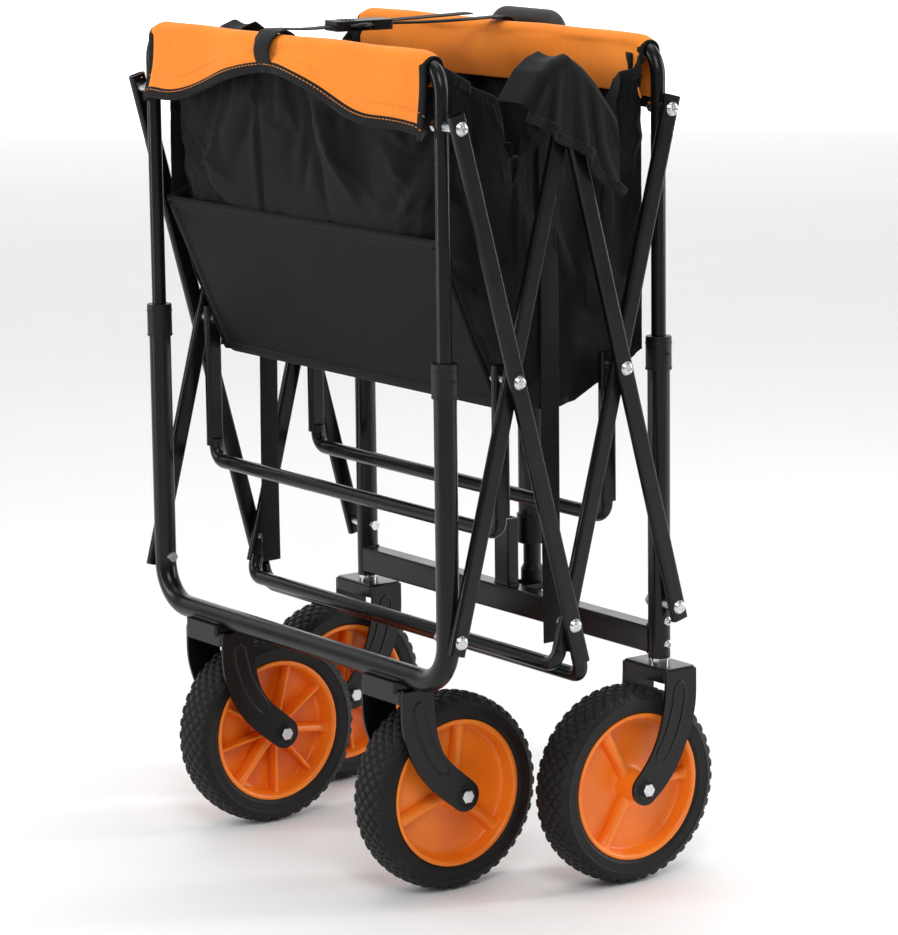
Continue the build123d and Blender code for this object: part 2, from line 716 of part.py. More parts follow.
# ---- fabric stand-ins -----------------------------------------------------
def fold_board(x_from, z_from, x_to, z_to):
    """Stiff floor board across the wagon, between two points of the side view."""
    lean = atan2(x_to - x_from, z_to - z_from)
    length = hypot(x_to - x_from, z_to - z_from)
    centre = Plane(((x_from + x_to) / 2, 0, (z_from + z_to) / 2), x_dir=(cos(lean), 0, -sin(lean)),
                   z_dir=(sin(lean), 0, cos(lean)))
    with BuildPart(centre) as board:
        Box(board_thickness, 2 * board_half_width, length)
        fillet(board.edges().filter_by(Axis.Y), board_thickness * 0.3)
    return board.part


board_low_z = 441.0         # the floor's two valleys
board_peak_z = 652.0        # its middle fold, between boards 2 and 3
board_rear_z = 588.0
board_front_z = 487.0
board_lines = {
    "floor_board_1": (rear_x + 4, board_rear_z, rear_x + 68, board_low_z),
    "floor_board_2": (rear_x + 75, board_low_z + 2, rear_x + 86, board_peak_z),
    "floor_board_3": (rear_x + 97, board_peak_z, rear_x + 104, board_low_z + 3),
    "floor_board_4": (rear_x + 112, board_low_z, front_x + 11, board_front_z),
}
for name, line in board_lines.items():
    save(fold_board(*line), name)

# End panels: a band turned over the hoop's top bar, and the panel below it inside.
band_clear = hoop_radius + cloth_gap
band_top_z = hoop_top_z + band_clear + cloth
for name, x, way, foot_z in (
    ("tote_rear_end", rear_x, 1, board_rear_z + board_thickness),
    ("tote_front_end", front_x, -1, board_front_z + board_thickness),
):
    with BuildPart() as end_panel:
        with BuildSketch(Plane.XZ.offset(-panel_y)) as section:
            with BuildLine():
                Polyline(
                    (x - way * band_clear, band_top_z - cloth), (x - way * band_clear, hoop_top_z - band_drop),
                    (x - way * (band_clear + cloth), hoop_top_z - band_drop),
                    (x - way * (band_clear + cloth), band_top_z), (x + way * (band_clear + cloth), band_top_z),
                    (x + way * (band_clear + cloth), foot_z), (x + way * band_clear, foot_z),
                    (x + way * band_clear, band_top_z - cloth), close=True,
                )
            make_face()
        extrude(amount=2 * panel_y)
    save(end_panel.part, name)

# Side panels, two halves a side, meeting at the top hub.
side_clear = band_clear + cloth + cloth_gap
side_top_z = hoop_top_z - 4
side_foot_z = 434.0
halves = {
    "tote_rear_sides": [
        (rear_x + side_clear, side_top_z), (rear_x + side_clear, 572), (rear_x + 66, side_foot_z),
        (hub_x - 1, side_foot_z), (hub_x - 1, hoop_top_z),
    ],
    "tote_front_sides": [
        (hub_x + 1, hoop_top_z), (hub_x + 1, side_foot_z), (hub_x + 14, side_foot_z),
        (front_x - side_clear, 476), (front_x - side_clear, side_top_z),
    ],
}
for name, outline in halves.items():
    panels = []
    for side in SIDES.values():
        with BuildPart() as panel:
            with BuildSketch(Plane.XZ.offset(-side * (board_half_width + cloth_gap))):
                with BuildLine():
                    Polyline(*outline, close=True)
                make_face()
            extrude(amount=-side * cloth)
        panels.append(panel.part)
    save(Compound(children=panels), name)

# Hub flaps lie over the top hubs, and the side straps hang from them.
flap_y = half_track + outer_face + side_gap + head_height + 1.5
flap_length = 64.0
flap_drop = 78.0
flap_z = hoop_top_z + cloth
strap_gap = 3.2             # strap's middle, outward from the side panel
strap_top_z = 706.0
strap_foot_z = 226.0
flap_root = panel_y + 3
flaps = []
straps = []
for side in SIDES.values():
    with BuildPart() as flap:
        with BuildSketch(Plane.YZ.offset(hub_x - flap_length / 2)):
            with BuildLine():
                Polyline(
                    (side * flap_root, flap_z), (side * flap_root, flap_z + cloth),
                    (side * (flap_y + cloth), flap_z + cloth), (side * (flap_y + cloth), flap_z - flap_drop),
                    (side * flap_y, flap_z - flap_drop), (side * flap_y, flap_z), close=True,
                )
            make_face()
        extrude(amount=flap_length)
    flaps.append(flap.part)
    with BuildPart() as strap:
        with Locations((hub_x, side * (panel_y + strap_gap), (strap_top_z + strap_foot_z) / 2)):
            Box(webbing_width, webbing_thickness, strap_top_z - strap_foot_z)
    straps.append(strap.part)
save(Compound(children=flaps), "tote_hub_flaps")
save(Compound(children=straps), "side_straps")

# Closing strap over the folded wagon, with its side-release buckle.
strap_turn = atan2(closing_strap_y, folded_spacing)
strap_plane = Plane((rear_x, closing_strap_y, closing_strap_z), x_dir=(cos(strap_turn), -sin(strap_turn), 0),
                    z_dir=(0, 0, 1))
plug_start = buckle_start + buckle_socket_length
strap_tuck = 4.0            # webbing inside each half of the buckle
strap_end = folded_spacing / cos(strap_turn)
for name, start, end in (
    ("closing_strap_rear", closing_strap_anchor, buckle_start + strap_tuck),
    ("closing_strap_front", plug_start + buckle_plug_length - strap_tuck, strap_end - closing_strap_anchor),
):
    with BuildPart(strap_plane) as strap:
        with Locations(((start + end) / 2, 0, 0)):
            Box(end - start, webbing_width, webbing_thickness)
    save(strap.part, name)
for name, start, length in (
    ("buckle_socket", buckle_start, buckle_socket_length),
    ("buckle_plug", plug_start + 0.3, buckle_plug_length),
):
    with BuildPart(strap_plane) as buckle:
        with Locations((start + length / 2, 0, 0)):
            Box(length, buckle_width, buckle_height)
        fillet(buckle.edges().filter_by(Axis.Z), 3)
        slot_end = start if name == "buckle_socket" else start + length
        with Locations((slot_end, 0, 0)):
            Box(2 * strap_tuck + 0.6, webbing_width + 0.6, webbing_thickness + 0.4, mode=Mode.SUBTRACT)
    save(buckle.part, name)

print("bar length", round(bar_length, 2), "tilt", round(degrees(fold_tilt), 3))
print("axes x: rear", rear_x, "front", front_x, "hub", hub_x)
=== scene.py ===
import bpy
import json
import math
import numpy as np
from mathutils import Matrix, Vector


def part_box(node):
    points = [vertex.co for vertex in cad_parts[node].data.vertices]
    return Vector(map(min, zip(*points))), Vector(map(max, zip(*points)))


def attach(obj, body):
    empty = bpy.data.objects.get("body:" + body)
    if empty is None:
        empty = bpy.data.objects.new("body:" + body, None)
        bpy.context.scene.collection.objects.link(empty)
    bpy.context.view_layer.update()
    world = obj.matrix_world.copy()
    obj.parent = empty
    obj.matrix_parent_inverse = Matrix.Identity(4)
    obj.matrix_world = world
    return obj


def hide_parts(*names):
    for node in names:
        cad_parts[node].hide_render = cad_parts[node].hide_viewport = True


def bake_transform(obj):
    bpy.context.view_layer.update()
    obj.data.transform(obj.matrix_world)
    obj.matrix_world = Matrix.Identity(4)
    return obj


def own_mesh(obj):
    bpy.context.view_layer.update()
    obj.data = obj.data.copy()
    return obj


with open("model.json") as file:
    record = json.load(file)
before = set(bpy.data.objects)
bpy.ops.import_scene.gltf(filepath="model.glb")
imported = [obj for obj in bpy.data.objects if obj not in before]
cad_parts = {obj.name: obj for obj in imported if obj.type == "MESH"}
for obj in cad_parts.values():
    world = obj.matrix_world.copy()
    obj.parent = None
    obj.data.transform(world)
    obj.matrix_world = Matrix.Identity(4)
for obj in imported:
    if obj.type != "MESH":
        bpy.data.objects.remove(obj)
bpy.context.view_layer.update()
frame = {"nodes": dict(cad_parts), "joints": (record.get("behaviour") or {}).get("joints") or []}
nodes = frame["nodes"]
joint_at = {joint["name"]: Vector(joint["pos_m"]) for joint in frame["joints"] if "pos_m" in joint}

rear_x = joint_at["unfold"].x
front_x = joint_at["front_frame_pivot"].x
hub_x = joint_at["top_hub"].x
low_pivot_z = joint_at["unfold"].z
high_pivot_z = joint_at["top_hub"].z
post_y = joint_at["caster_left_swivel"].y
SIDES = {"left": 1, "right": -1}


# ---- powder-coated steel tubes ----
# Round posts, hoops and crossbars and flattened side bars, cut, bent, welded and
# coated satin black. The coat has a fine orange peel and is a little duller in patches.
def effect_group(name, inputs, outputs):
    """A shader node group with named number inputs and outputs, and nothing in it yet."""
    group = bpy.data.node_groups.new(name, "ShaderNodeTree")
    for socket, value in inputs.items():
        group.interface.new_socket(socket, in_out="INPUT",
                                   socket_type="NodeSocketFloat").default_value = value
    for socket in outputs:
        group.interface.new_socket(socket, in_out="OUTPUT", socket_type="NodeSocketFloat")
    return group, group.nodes.new("NodeGroupInput"), group.nodes.new("NodeGroupOutput")


def wire(tree, kind, sources=(), **settings):
    """Adds a node, sets its properties, and links or sets its inputs by name or number."""
    node = tree.nodes.new(kind)
    for key, value in settings.items():
        setattr(node, key, value)
    for socket, source in dict(sources).items():
        if isinstance(source, bpy.types.NodeSocket):
            tree.links.new(source, node.inputs[socket])
        else:
            node.inputs[socket].default_value = source
    return node


def math_node(tree, operation, *values, clamp=False):
    return wire(tree, "ShaderNodeMath", enumerate(values), operation=operation, use_clamp=clamp).outputs[0]


grain, grain_in, grain_out = effect_group(
    "surface_grain", {"Scale": 900.0, "Patch": 16.0}, ("Height", "Tone"))
spot = wire(grain, "ShaderNodeTexCoord").outputs["Object"]
fine = wire(grain, "ShaderNodeTexNoise", {"Vector": spot, "Scale": grain_in.outputs["Scale"],
                                          "Detail": 3.0})
broad = wire(grain, "ShaderNodeTexNoise", {"Vector": spot, "Scale": grain_in.outputs["Patch"],
                                           "Detail": 4.0})
grain.links.new(fine.outputs["Fac"], grain_out.inputs["Height"])
grain.links.new(broad.outputs["Fac"], grain_out.inputs["Tone"])

scuffs, scuffs_in, scuffs_out = effect_group(
    "handling_scuffs", {"Scale": 60.0, "Amount": 0.3}, ("Mask",))
spot = wire(scuffs, "ShaderNodeTexCoord").outputs["Object"]
streak = wire(scuffs, "ShaderNodeMapping", {"Vector": spot, "Scale": (1.0, 1.0, 0.25)})
marks = wire(scuffs, "ShaderNodeTexNoise", {
    "Vector": streak.outputs[0], "Scale": scuffs_in.outputs["Scale"], "Detail": 6.0, "Roughness": 0.7})
level = math_node(scuffs, "SUBTRACT", 0.86, math_node(scuffs, "MULTIPLY", scuffs_in.outputs["Amount"], 0.4))
over = math_node(scuffs, "MULTIPLY", math_node(scuffs, "SUBTRACT", marks.outputs["Fac"], level), 9.0,
                 clamp=True)
scuffs.links.new(over, scuffs_out.inputs["Mask"])


def group_node(tree, group, **inputs):
    node = tree.nodes.new("ShaderNodeGroup")
    node.node_tree = group
    for socket, value in inputs.items():
        node.inputs[socket].default_value = value
    return node


def ramp(tree, factor, *stops):
    """Colour ramp; each stop is (position, grey or (r, g, b))."""
    node = wire(tree, "ShaderNodeValToRGB", {"Fac": factor})
    elements = node.color_ramp.elements
    while len(elements) < len(stops):
        elements.new(0.5)
    for element, (position, value) in zip(elements, stops):
        element.position = position
        element.color = (*value, 1.0) if isinstance(value, tuple) else (value, value, value, 1.0)
    return node.outputs["Color"]


def finish_material(name, dark, light, rough, grain_scale, relief, patch=16.0, scuff=0.2,
                    scuff_tint=None, **shader_values):
    """Moulded or coated surface: colour between two shades, uneven gloss and a fine grain."""
    material = bpy.data.materials.new(name)
    material.use_nodes = True
    tree = material.node_tree
    shader = tree.nodes["Principled BSDF"]
    surface = group_node(tree, grain, Scale=grain_scale, Patch=patch)
    wear = group_node(tree, scuffs, Scale=70.0, Amount=scuff)
    colour = ramp(tree, surface.outputs["Tone"], (0.3, dark), (0.7, light))
    tint = scuff_tint or tuple(min(1.0, 1.5 * part + 0.012) for part in light)
    mixed = wire(tree, "ShaderNodeMix", {"Factor": wear.outputs["Mask"], "B": (*tint, 1.0)},
                 data_type="RGBA")
    tree.links.new(colour, mixed.inputs["A"])
    tree.links.new(mixed.outputs["Result"], shader.inputs["Base Color"])
    gloss = ramp(tree, surface.outputs["Tone"], (0.25, rough[0]), (0.75, rough[1]))
    worn = math_node(tree, "ADD", gloss, math_node(tree, "MULTIPLY", wear.outputs["Mask"], 0.14),
                     clamp=True)
    tree.links.new(worn, shader.inputs["Roughness"])
    bump = wire(tree, "ShaderNodeBump", {"Height": surface.outputs["Height"], "Strength": relief,
                                         "Distance": 0.0004})
    tree.links.new(bump.outputs[0], shader.inputs["Normal"])
    for socket, value in shader_values.items():
        shader.inputs[socket.replace("_", " ")].default_value = value
    return material


powder_coat = finish_material("black_powder_coat", (0.0035, 0.0035, 0.0037), (0.0065, 0.0065, 0.0068),
                              (0.20, 0.30), 700.0, 0.16, scuff=0.12, Specular_IOR_Level=0.27)


def dress(material, *names):
    """Gives CAD nodes their finish."""
    for name in names:
        nodes[name].data.materials.clear()
        nodes[name].data.materials.append(material)


dress(powder_coat, "rear_u_frame", "rear_hoop", "front_hoop", "front_frame", "rear_lift_bar_left",
      "rear_lift_bar_right", "front_lift_bar_left", "front_lift_bar_right", "rear_support_frame",
      "front_support_frame", "rear_floor_rest", "front_floor_rest", "handle_bracket",
      "handle_outer_tube", "handle_inner_tube")


# ---- weld beads ----
# MIG beads where the fork saddles meet the rear bar, the crossbar meets the front
# posts and the handle stay stands on the crossbar: rows of small ripples, coated over.
def grid_faces(rows, columns, closed_rows=False, closed_columns=False):
    """Quads of a grid of points stored row by row."""
    faces = []
    for i in range(rows if closed_rows else rows - 1):
        for j in range(columns if closed_columns else columns - 1):
            here, there = i * columns, ((i + 1) % rows) * columns
            faces.append((here + j, here + (j + 1) % columns, there + (j + 1) % columns, there + j))
    return faces


def mesh_piece(name, points, faces, material, body=None, slot=None, smooth=True, at=None):
    mesh = bpy.data.meshes.new(name)
    mesh.from_pydata([tuple(p) for p in points], [], faces)
    mesh.update()
    mesh.polygons.foreach_set("use_smooth", [smooth] * len(mesh.polygons))
    piece = bpy.data.objects.new(name, mesh)
    bpy.context.scene.collection.objects.link(piece)
    if at is not None:
        piece.location = at
    mesh.materials.append(material)
    if body:
        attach(piece, body)
    return piece


def frames_along(points):
    """Tangent, side and up vectors at each point of a path, without twist."""
    points = [Vector(p) for p in points]
    tangents = [(points[min(i + 1, len(points) - 1)] - points[max(i - 1, 0)]).normalized()
                for i in range(len(points))]
    up = Vector((0, 0, 1)) if abs(tangents[0].z) < 0.9 else Vector((1, 0, 0))
    result = []
    for tangent in tangents:
        side = tangent.cross(up).normalized()
        up = side.cross(tangent).normalized()
        result.append((tangent, side, up))
    return points, result


def tube_points(path, radius_at, ring=10, closed=False):
    """Points and faces of a round bead or cord along a path, with its ends closed."""
    points, frames = frames_along(path)
    verts = []
    for i, (point, (_, side, up)) in enumerate(zip(points, frames)):
        radius = radius_at(i / (len(points) - 1))
        for k in range(ring):
            turn = 2 * math.pi * k / ring
            verts.append(point + radius * (math.cos(turn) * side + math.sin(turn) * up))
    faces = grid_faces(len(points), ring, closed_rows=closed, closed_columns=True)
    if not closed:
        faces += [tuple(range(ring)), tuple(range((len(points) - 1) * ring, len(points) * ring))[::-1]]
    return verts, faces


def join_parts(parts):
    """One list of points and faces from several."""
    verts, faces = [], []
    for part_verts, part_faces in parts:
        base = len(verts)
        verts += list(part_verts)
        faces += [tuple(base + index for index in face) for face in part_faces]
    return verts, faces


bead_radius = 0.0021
ripple_pitch = 0.0032


def weld(start, end):
    start, end = Vector(start), Vector(end)
    length = (end - start).length
    count = max(6, int(length / ripple_pitch * 6))
    path = [start.lerp(end, i / count) for i in range(count + 1)]

    def radius_at(t):
        swell = abs(math.sin(math.pi * t * length / ripple_pitch)) ** 0.7
        ends = min(1.0, 8 * t + 0.35, 8 * (1 - t) + 0.35)
        return bead_radius * (0.72 + 0.34 * swell) * ends

    return tube_points(path, radius_at, ring=8)


saddle_half = 0.024
bar_low_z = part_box("rear_u_frame")[0].z
saddle_welds = []
for side in SIDES.values():
    wheel_y = joint_at["rear_wheel_left_spin"].y * side
    for way in (-1, 1):
        weld_x = rear_x + way * 0.0096
        weld_z = bar_low_z + 0.0066
        saddle_welds.append(weld((weld_x, wheel_y - saddle_half, weld_z),
                                 (weld_x, wheel_y + saddle_half, weld_z)))
mesh_piece("saddle_welds", *join_parts(saddle_welds), powder_coat, "rear_frame", "black_paint")

crossbar_z = 0.214
crossbar_half_height = 0.012
crossbar_half_depth = 0.0095
crossbar_welds = []
for side in SIDES.values():
    for way in (-1, 1):
        corner = front_x + way * (crossbar_half_depth - 0.002)
        crossbar_welds.append(weld((corner, side * (post_y - 0.0096), crossbar_z - crossbar_half_height),
                                   (corner, side * (post_y - 0.0096), crossbar_z + crossbar_half_height)))
        edge_z = crossbar_z + way * crossbar_half_height
        crossbar_welds.append(weld((front_x - 0.0075, side * (post_y - 0.0085), edge_z),
                                   (front_x + 0.0075, side * (post_y - 0.0085), edge_z)))
for way in (-1, 1):
    crossbar_welds.append(weld((front_x - 0.006, way * 0.0112, crossbar_z + crossbar_half_height),
                               (front_x + 0.006, way * 0.0112, crossbar_z + crossbar_half_height)))
mesh_piece("crossbar_welds", *join_parts(crossbar_welds), powder_coat, "front_frame", "black_paint")


# ---- screws, nuts and axle bolts ----
# Zinc-plated pan-head screws with a cross recess hold every pivot; the wheels turn on
# hexagon bolts. The plating is bright with faint cloudy patches.
zinc_plate = finish_material("zinc_plate", (0.52, 0.53, 0.55), (0.74, 0.75, 0.77), (0.16, 0.30),
                             1500.0, 0.12, patch=180.0, scuff=0.25, scuff_tint=(0.42, 0.42, 0.44),
                             Metallic=1.0)
dress(zinc_plate, "rear_axles", "caster_bolts_left", "caster_bolts_right", "handle_bolt",
      "rear_lower_bolts", "rear_upper_bolts", "front_lower_bolts", "front_upper_bolts",
      "rear_lift_bolts", "front_lift_bolts", "bottom_hub_bolts")

screw_radius = 0.0061
screw_height = 0.0034
recess_half_width = 0.00075
recess_reach = 0.0031
recess_depth = 0.0015


def screw_head(centre, side, radius=screw_radius, turn=0.3):
    """Domed head with a cross recess, facing out along Y."""
    rings, spokes = 15, 48
    height = screw_height * radius / screw_radius
    verts = [Vector((centre[0], centre[1], centre[2]))]
    for i in range(rings + 1):
        share = i / rings
        for k in range(spokes):
            angle = 2 * math.pi * k / spokes
            across, up = share * math.cos(angle), share * math.sin(angle)
            rise = height * (1 - 0.55 * share ** 2 - 0.45 * share ** 10)
            px = abs(across * math.cos(turn) + up * math.sin(turn)) * radius
            pz = abs(-across * math.sin(turn) + up * math.cos(turn)) * radius
            reach = recess_reach * radius / screw_radius
            if min(px, pz) < recess_half_width * 1.35 and max(px, pz) < reach:
                rise -= recess_depth
            verts.append(Vector((centre[0] + radius * across, centre[1] + side * rise,
                                 centre[2] + radius * up)))
    faces = [(1 + k + i * spokes, 1 + (k + 1) % spokes + i * spokes,
              1 + (k + 1) % spokes + (i + 1) * spokes, 1 + k + (i + 1) * spokes)
             for i in range(rings) for k in range(spokes)]
    faces.append(tuple(1 + k for k in range(spokes)))
    rim = [1 + rings * spokes + k for k in range(spokes)]
    faces += [(0, rim[(k + 1) % spokes], rim[k]) for k in range(spokes)]
    return verts, faces


head_thickness = 0.0026
screw_places = {
    "rear_lower": ("rear_frame", "rear_lower_bolts", [(rear_x, low_pivot_z)]),
    "rear_upper": ("rear_hoop", "rear_upper_bolts", [(rear_x, high_pivot_z)]),
    "front_lower": ("front_frame", "front_lower_bolts", [(front_x, low_pivot_z)]),
    "front_upper": ("front_hoop", "front_upper_bolts", [(front_x, high_pivot_z)]),
    "rear_crossing": ("rear_lift_bars", "rear_lift_bolts",
                      [(joint_at["rear_scissor"].x, joint_at["rear_scissor"].z), (hub_x, high_pivot_z)]),
    "front_crossing": ("front_lift_bars", "front_lift_bolts",
                       [(joint_at["front_scissor"].x, joint_at["front_scissor"].z)]),
    "bottom_hub": ("rear_support_frame", "bottom_hub_bolts", [(hub_x, low_pivot_z)]),
}
for name, (body, node, places) in screw_places.items():
    face_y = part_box(node)[1].y - head_thickness
    heads = [screw_head((x, side * face_y, z), side, turn=0.3 + 0.5 * i + 0.4 * side)
             for i, (x, z) in enumerate(places) for side in SIDES.values()]
    mesh_piece(f"{name}_screw_heads", *join_parts(heads), zinc_plate, body, "bright_hardware")

small_screw_radius = 0.0042
stop_screws = [screw_head((front_x + 0.002, side * (post_y + 0.0094), z), side, small_screw_radius, turn)
               for side in SIDES.values() for z, turn in ((0.2105, 0.2), (0.2315, 0.9))]
mesh_piece("front_post_screws", *join_parts(stop_screws), zinc_plate, "front_frame", "bright_hardware")


# ---- moulded collars, plugs and handle fittings ----
# Black nylon: collars that cap the posts, plugs inside them, and the handle's foot, cap
# and guide. Spark-eroded satin surface with lighter, rougher scuffs in patches.
black_nylon = finish_material("black_nylon", (0.0045, 0.0045, 0.0048), (0.009, 0.009, 0.0093), (0.34, 0.48),
                              1600.0, 0.25, scuff=0.2, Specular_IOR_Level=0.26)
soft_grip = finish_material("soft_grip_rubber", (0.011, 0.011, 0.011), (0.018, 0.018, 0.018), (0.55, 0.68),
                            2200.0, 0.5, scuff=0.3)
dress(black_nylon, "rear_collars", "front_collars", "rear_slide_plugs", "front_slide_plugs", "handle_foot",
      "handle_cap", "handle_guide")
dress(soft_grip, "handle_grip")


def ring_of(centre, radius, bead, axis="z", ring=10, around=40):
    """Closed round ridge about an axis through centre."""
    verts = []
    for i in range(around):
        angle = 2 * math.pi * i / around
        for k in range(ring):
            turn = 2 * math.pi * k / ring
            reach = radius + bead * math.cos(turn)
            rise = bead * math.sin(turn)
            flat = (reach * math.cos(angle), reach * math.sin(angle))
            point = (*flat, rise) if axis == "z" else (flat[0], rise, flat[1])
            verts.append(Vector(centre) + Vector(point))
    return verts, grid_faces(around, ring, True, True)


for end, x, body in (("rear", rear_x, "rear_frame"), ("front", front_x, "front_frame")):
    low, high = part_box(f"{end}_collars")
    lips = [ring_of((x, side * post_y, z), high.y - post_y - 0.0003, 0.0009)
            for side in SIDES.values() for z in (low.z + 0.0012, high.z - 0.0062)]
    rivets = [ring_of((x + 0.0005, side * (high.y + 0.0001), (low.z + high.z) / 2),
                      0.0016, 0.0007, "y", 8, 16)
              for side in SIDES.values()]
    mesh_piece(f"{end}_collar_lips", *join_parts(lips + rivets), black_nylon, body, "black_plastic")


# ---- forks ----
# Pressed steel forks: a long oval bead stiffens each arm and a shallow ring surrounds the
# axle.
dress(powder_coat, "rear_fork_left", "rear_fork_right", "caster_fork_left", "caster_fork_right")
crown_z = 0.1935
fork_outer = 0.031
bead_half_width = 0.0062


def arm_bead(top_x, axle, side):
    """Oval bead pressed in a fork arm's outer face, along the arm's curved middle."""
    reach = axle.x - top_x
    way = 1 if reach > 0 else -1
    size = abs(reach)
    middle = [Vector((0.001, crown_z - 0.012)), Vector((0.0015, crown_z - 0.034)),
              Vector((0.05 * size + 0.0075, crown_z - 0.062)),
              Vector((0.62 * size + 0.001, axle.z + 0.0235))]
    line = []
    for i in range(25):
        t = i / 24
        a, b, c, d = middle
        line.append((1 - t) ** 3 * a + 3 * t * (1 - t) ** 2 * b + 3 * t * t * (1 - t) * c + t ** 3 * d)
    left, right = [], []
    for i, point in enumerate(line):
        ahead = (line[min(i + 1, 24)] - line[max(i - 1, 0)]).normalized()
        normal = Vector((-ahead.y, ahead.x))
        end = min(i, 24 - i) / 3
        width = bead_half_width * (math.sqrt(1 - (1 - min(end, 1.0)) ** 2))
        left.append(point + width * normal)
        right.append(point - width * normal)
    outline = left + right[::-1][1:-1]
    y = axle.y + side * (fork_outer - 0.0004)
    path = [Vector((top_x + way * p.x, y, p.y)) for p in outline]
    count = len(path)
    verts = []
    for i in range(count):
        ahead = (path[(i + 1) % count] - path[i - 1]).normalized()
        across = ahead.cross(Vector((0, 1, 0))).normalized()
        for k in range(8):
            turn = 2 * math.pi * k / 8
            verts.append(path[i] + 0.0015 * math.cos(turn) * across
                         + 0.0013 * math.sin(turn) * Vector((0, 1, 0)))
    return verts, grid_faces(count, 8, True, True)


for name in SIDES:
    rear_axle, front_axle = joint_at[f"rear_wheel_{name}_spin"], joint_at[f"front_wheel_{name}_spin"]
    swivel = joint_at[f"caster_{name}_swivel"]
    for prefix, top_x, axle, body in (("rear_fork", rear_x + 0.005, rear_axle, "rear_frame"),
                                      ("caster_fork", swivel.x, front_axle, f"caster_{name}")):
        presses = [arm_bead(top_x, axle, side) for side in (1, -1)]
        presses += [ring_of((axle.x, axle.y + side * (fork_outer - 0.0002), axle.z), 0.0092, 0.0009, "y")
                    for side in (1, -1)]
        mesh_piece(f"{prefix}_{name}_pressings", *join_parts(presses), powder_coat, body, "black_paint")


# ---- wheels ----
# Seven-inch wheels: a solid rubber tyre with a diamond block tread and a lipped side
# wall, moulded on an orange rim with broad spokes outside and thin ribs inside.
orange_plastic = finish_material("orange_rim_plastic", (0.82, 0.170, 0.006), (0.94, 0.235, 0.012),
                                 (0.30, 0.42), 900.0, 0.12, patch=22.0, scuff=0.15,
                                 scuff_tint=(0.70, 0.20, 0.05),
                                 Subsurface_Weight=0.06, Subsurface_Radius=(0.004, 0.0015, 0.0005))
tyre_rubber = finish_material("tyre_rubber", (0.0055, 0.0055, 0.0057), (0.012, 0.012, 0.0118),
                              (0.46, 0.60), 1300.0, 0.45, patch=35.0, scuff=0.45,
                              scuff_tint=(0.024, 0.023, 0.022), Specular_IOR_Level=0.24)
wheel_radius = joint_at["rear_wheel_left_spin"].z
tread_half = 0.0180
tread_crown = 0.0032
shoulder_radius = wheel_radius - tread_crown
bead_seat = Vector((0.0185, 0.067))
tread_blocks = 44
groove_depth = 0.0021
groove_half = 0.0008


def tyre_profile(steps_tread, steps_wall):
    """Half section from the tread's middle to the bead: (outward, radius, tread share)."""
    section = []
    for i in range(steps_tread + 1):
        share = i / steps_tread
        section.append((tread_half * share, wheel_radius - tread_crown * share ** 2.4, 1.0))
    for i in range(1, steps_wall + 1):
        t = i / steps_wall
        outward = (1 - t) ** 2 * tread_half + 2 * t * (1 - t) * 0.0228 + t * t * bead_seat.x
        radius = (1 - t) ** 2 * shoulder_radius + 2 * t * (1 - t) * 0.0775 + t * t * bead_seat.y
        lip = 0.0009 * math.exp(-((t - 0.42) / 0.055) ** 2) + 0.0006 * math.exp(-((t - 0.86) / 0.05) ** 2)
        section.append((outward + lip, radius, max(0.0, 1 - t / 0.30)))
    return section


def tyre_mesh_data():
    around = 484
    half = tyre_profile(18, 20)
    section = [(-a, r, s) for a, r, s in half[:0:-1]] + half
    seat = [(0.0150, 0.0640, 0.0), (-0.0150, 0.0640, 0.0)]
    ring = section + seat
    angles = 2 * np.pi * np.arange(around) / around
    table = np.array(ring)
    outward, radius, share = table[:, 0][None], table[:, 1][None], table[:, 2][None]
    pitch = 2 * np.pi * wheel_radius / tread_blocks
    place = (angles * wheel_radius)[:, None]
    gap = np.full((around, len(ring)), 1.0)
    for way in (1, -1):
        phase = (place + way * outward * 1.15) / pitch
        gap = np.minimum(gap, np.abs(phase - np.round(phase)) * pitch * 0.66)
    rise = np.clip((gap - groove_half) / 0.0009, 0, 1)
    rise = rise * rise * (3 - 2 * rise)
    reach = radius - groove_depth * share * (1 - rise)
    points = np.stack([reach * np.cos(angles)[:, None], np.broadcast_to(outward, reach.shape),
                       reach * np.sin(angles)[:, None]], -1).reshape(-1, 3)
    return points.tolist(), grid_faces(around, len(ring), True, True)


rim_profile = [
    (0.0185, 0.0666), (0.0192, 0.0655), (0.0192, 0.0640), (0.0184, 0.0624), (0.0172, 0.0616),
    (0.0080, 0.0602), (0.0052, 0.0594), (0.0042, 0.0576), (0.0040, 0.0540), (0.0040, 0.0200),
    (0.0048, 0.0158), (0.0080, 0.0142), (0.0240, 0.0130), (0.0268, 0.0124), (0.0278, 0.0108),
    (0.0280, 0.0060), (0.0276, 0.0045), (-0.0276, 0.0045),
    (-0.0280, 0.0060), (-0.0278, 0.0108), (-0.0268, 0.0124), (-0.0240, 0.0130), (-0.0040, 0.0142),
    (-0.0010, 0.0158), (0.0000, 0.0200), (0.0000, 0.0540), (-0.0006, 0.0576), (-0.0020, 0.0594),
    (-0.0080, 0.0603), (-0.0172, 0.0616), (-0.0184, 0.0624), (-0.0192, 0.0640), (-0.0192, 0.0655),
    (-0.0185, 0.0666), (-0.0150, 0.0640), (0.0150, 0.0640),
]


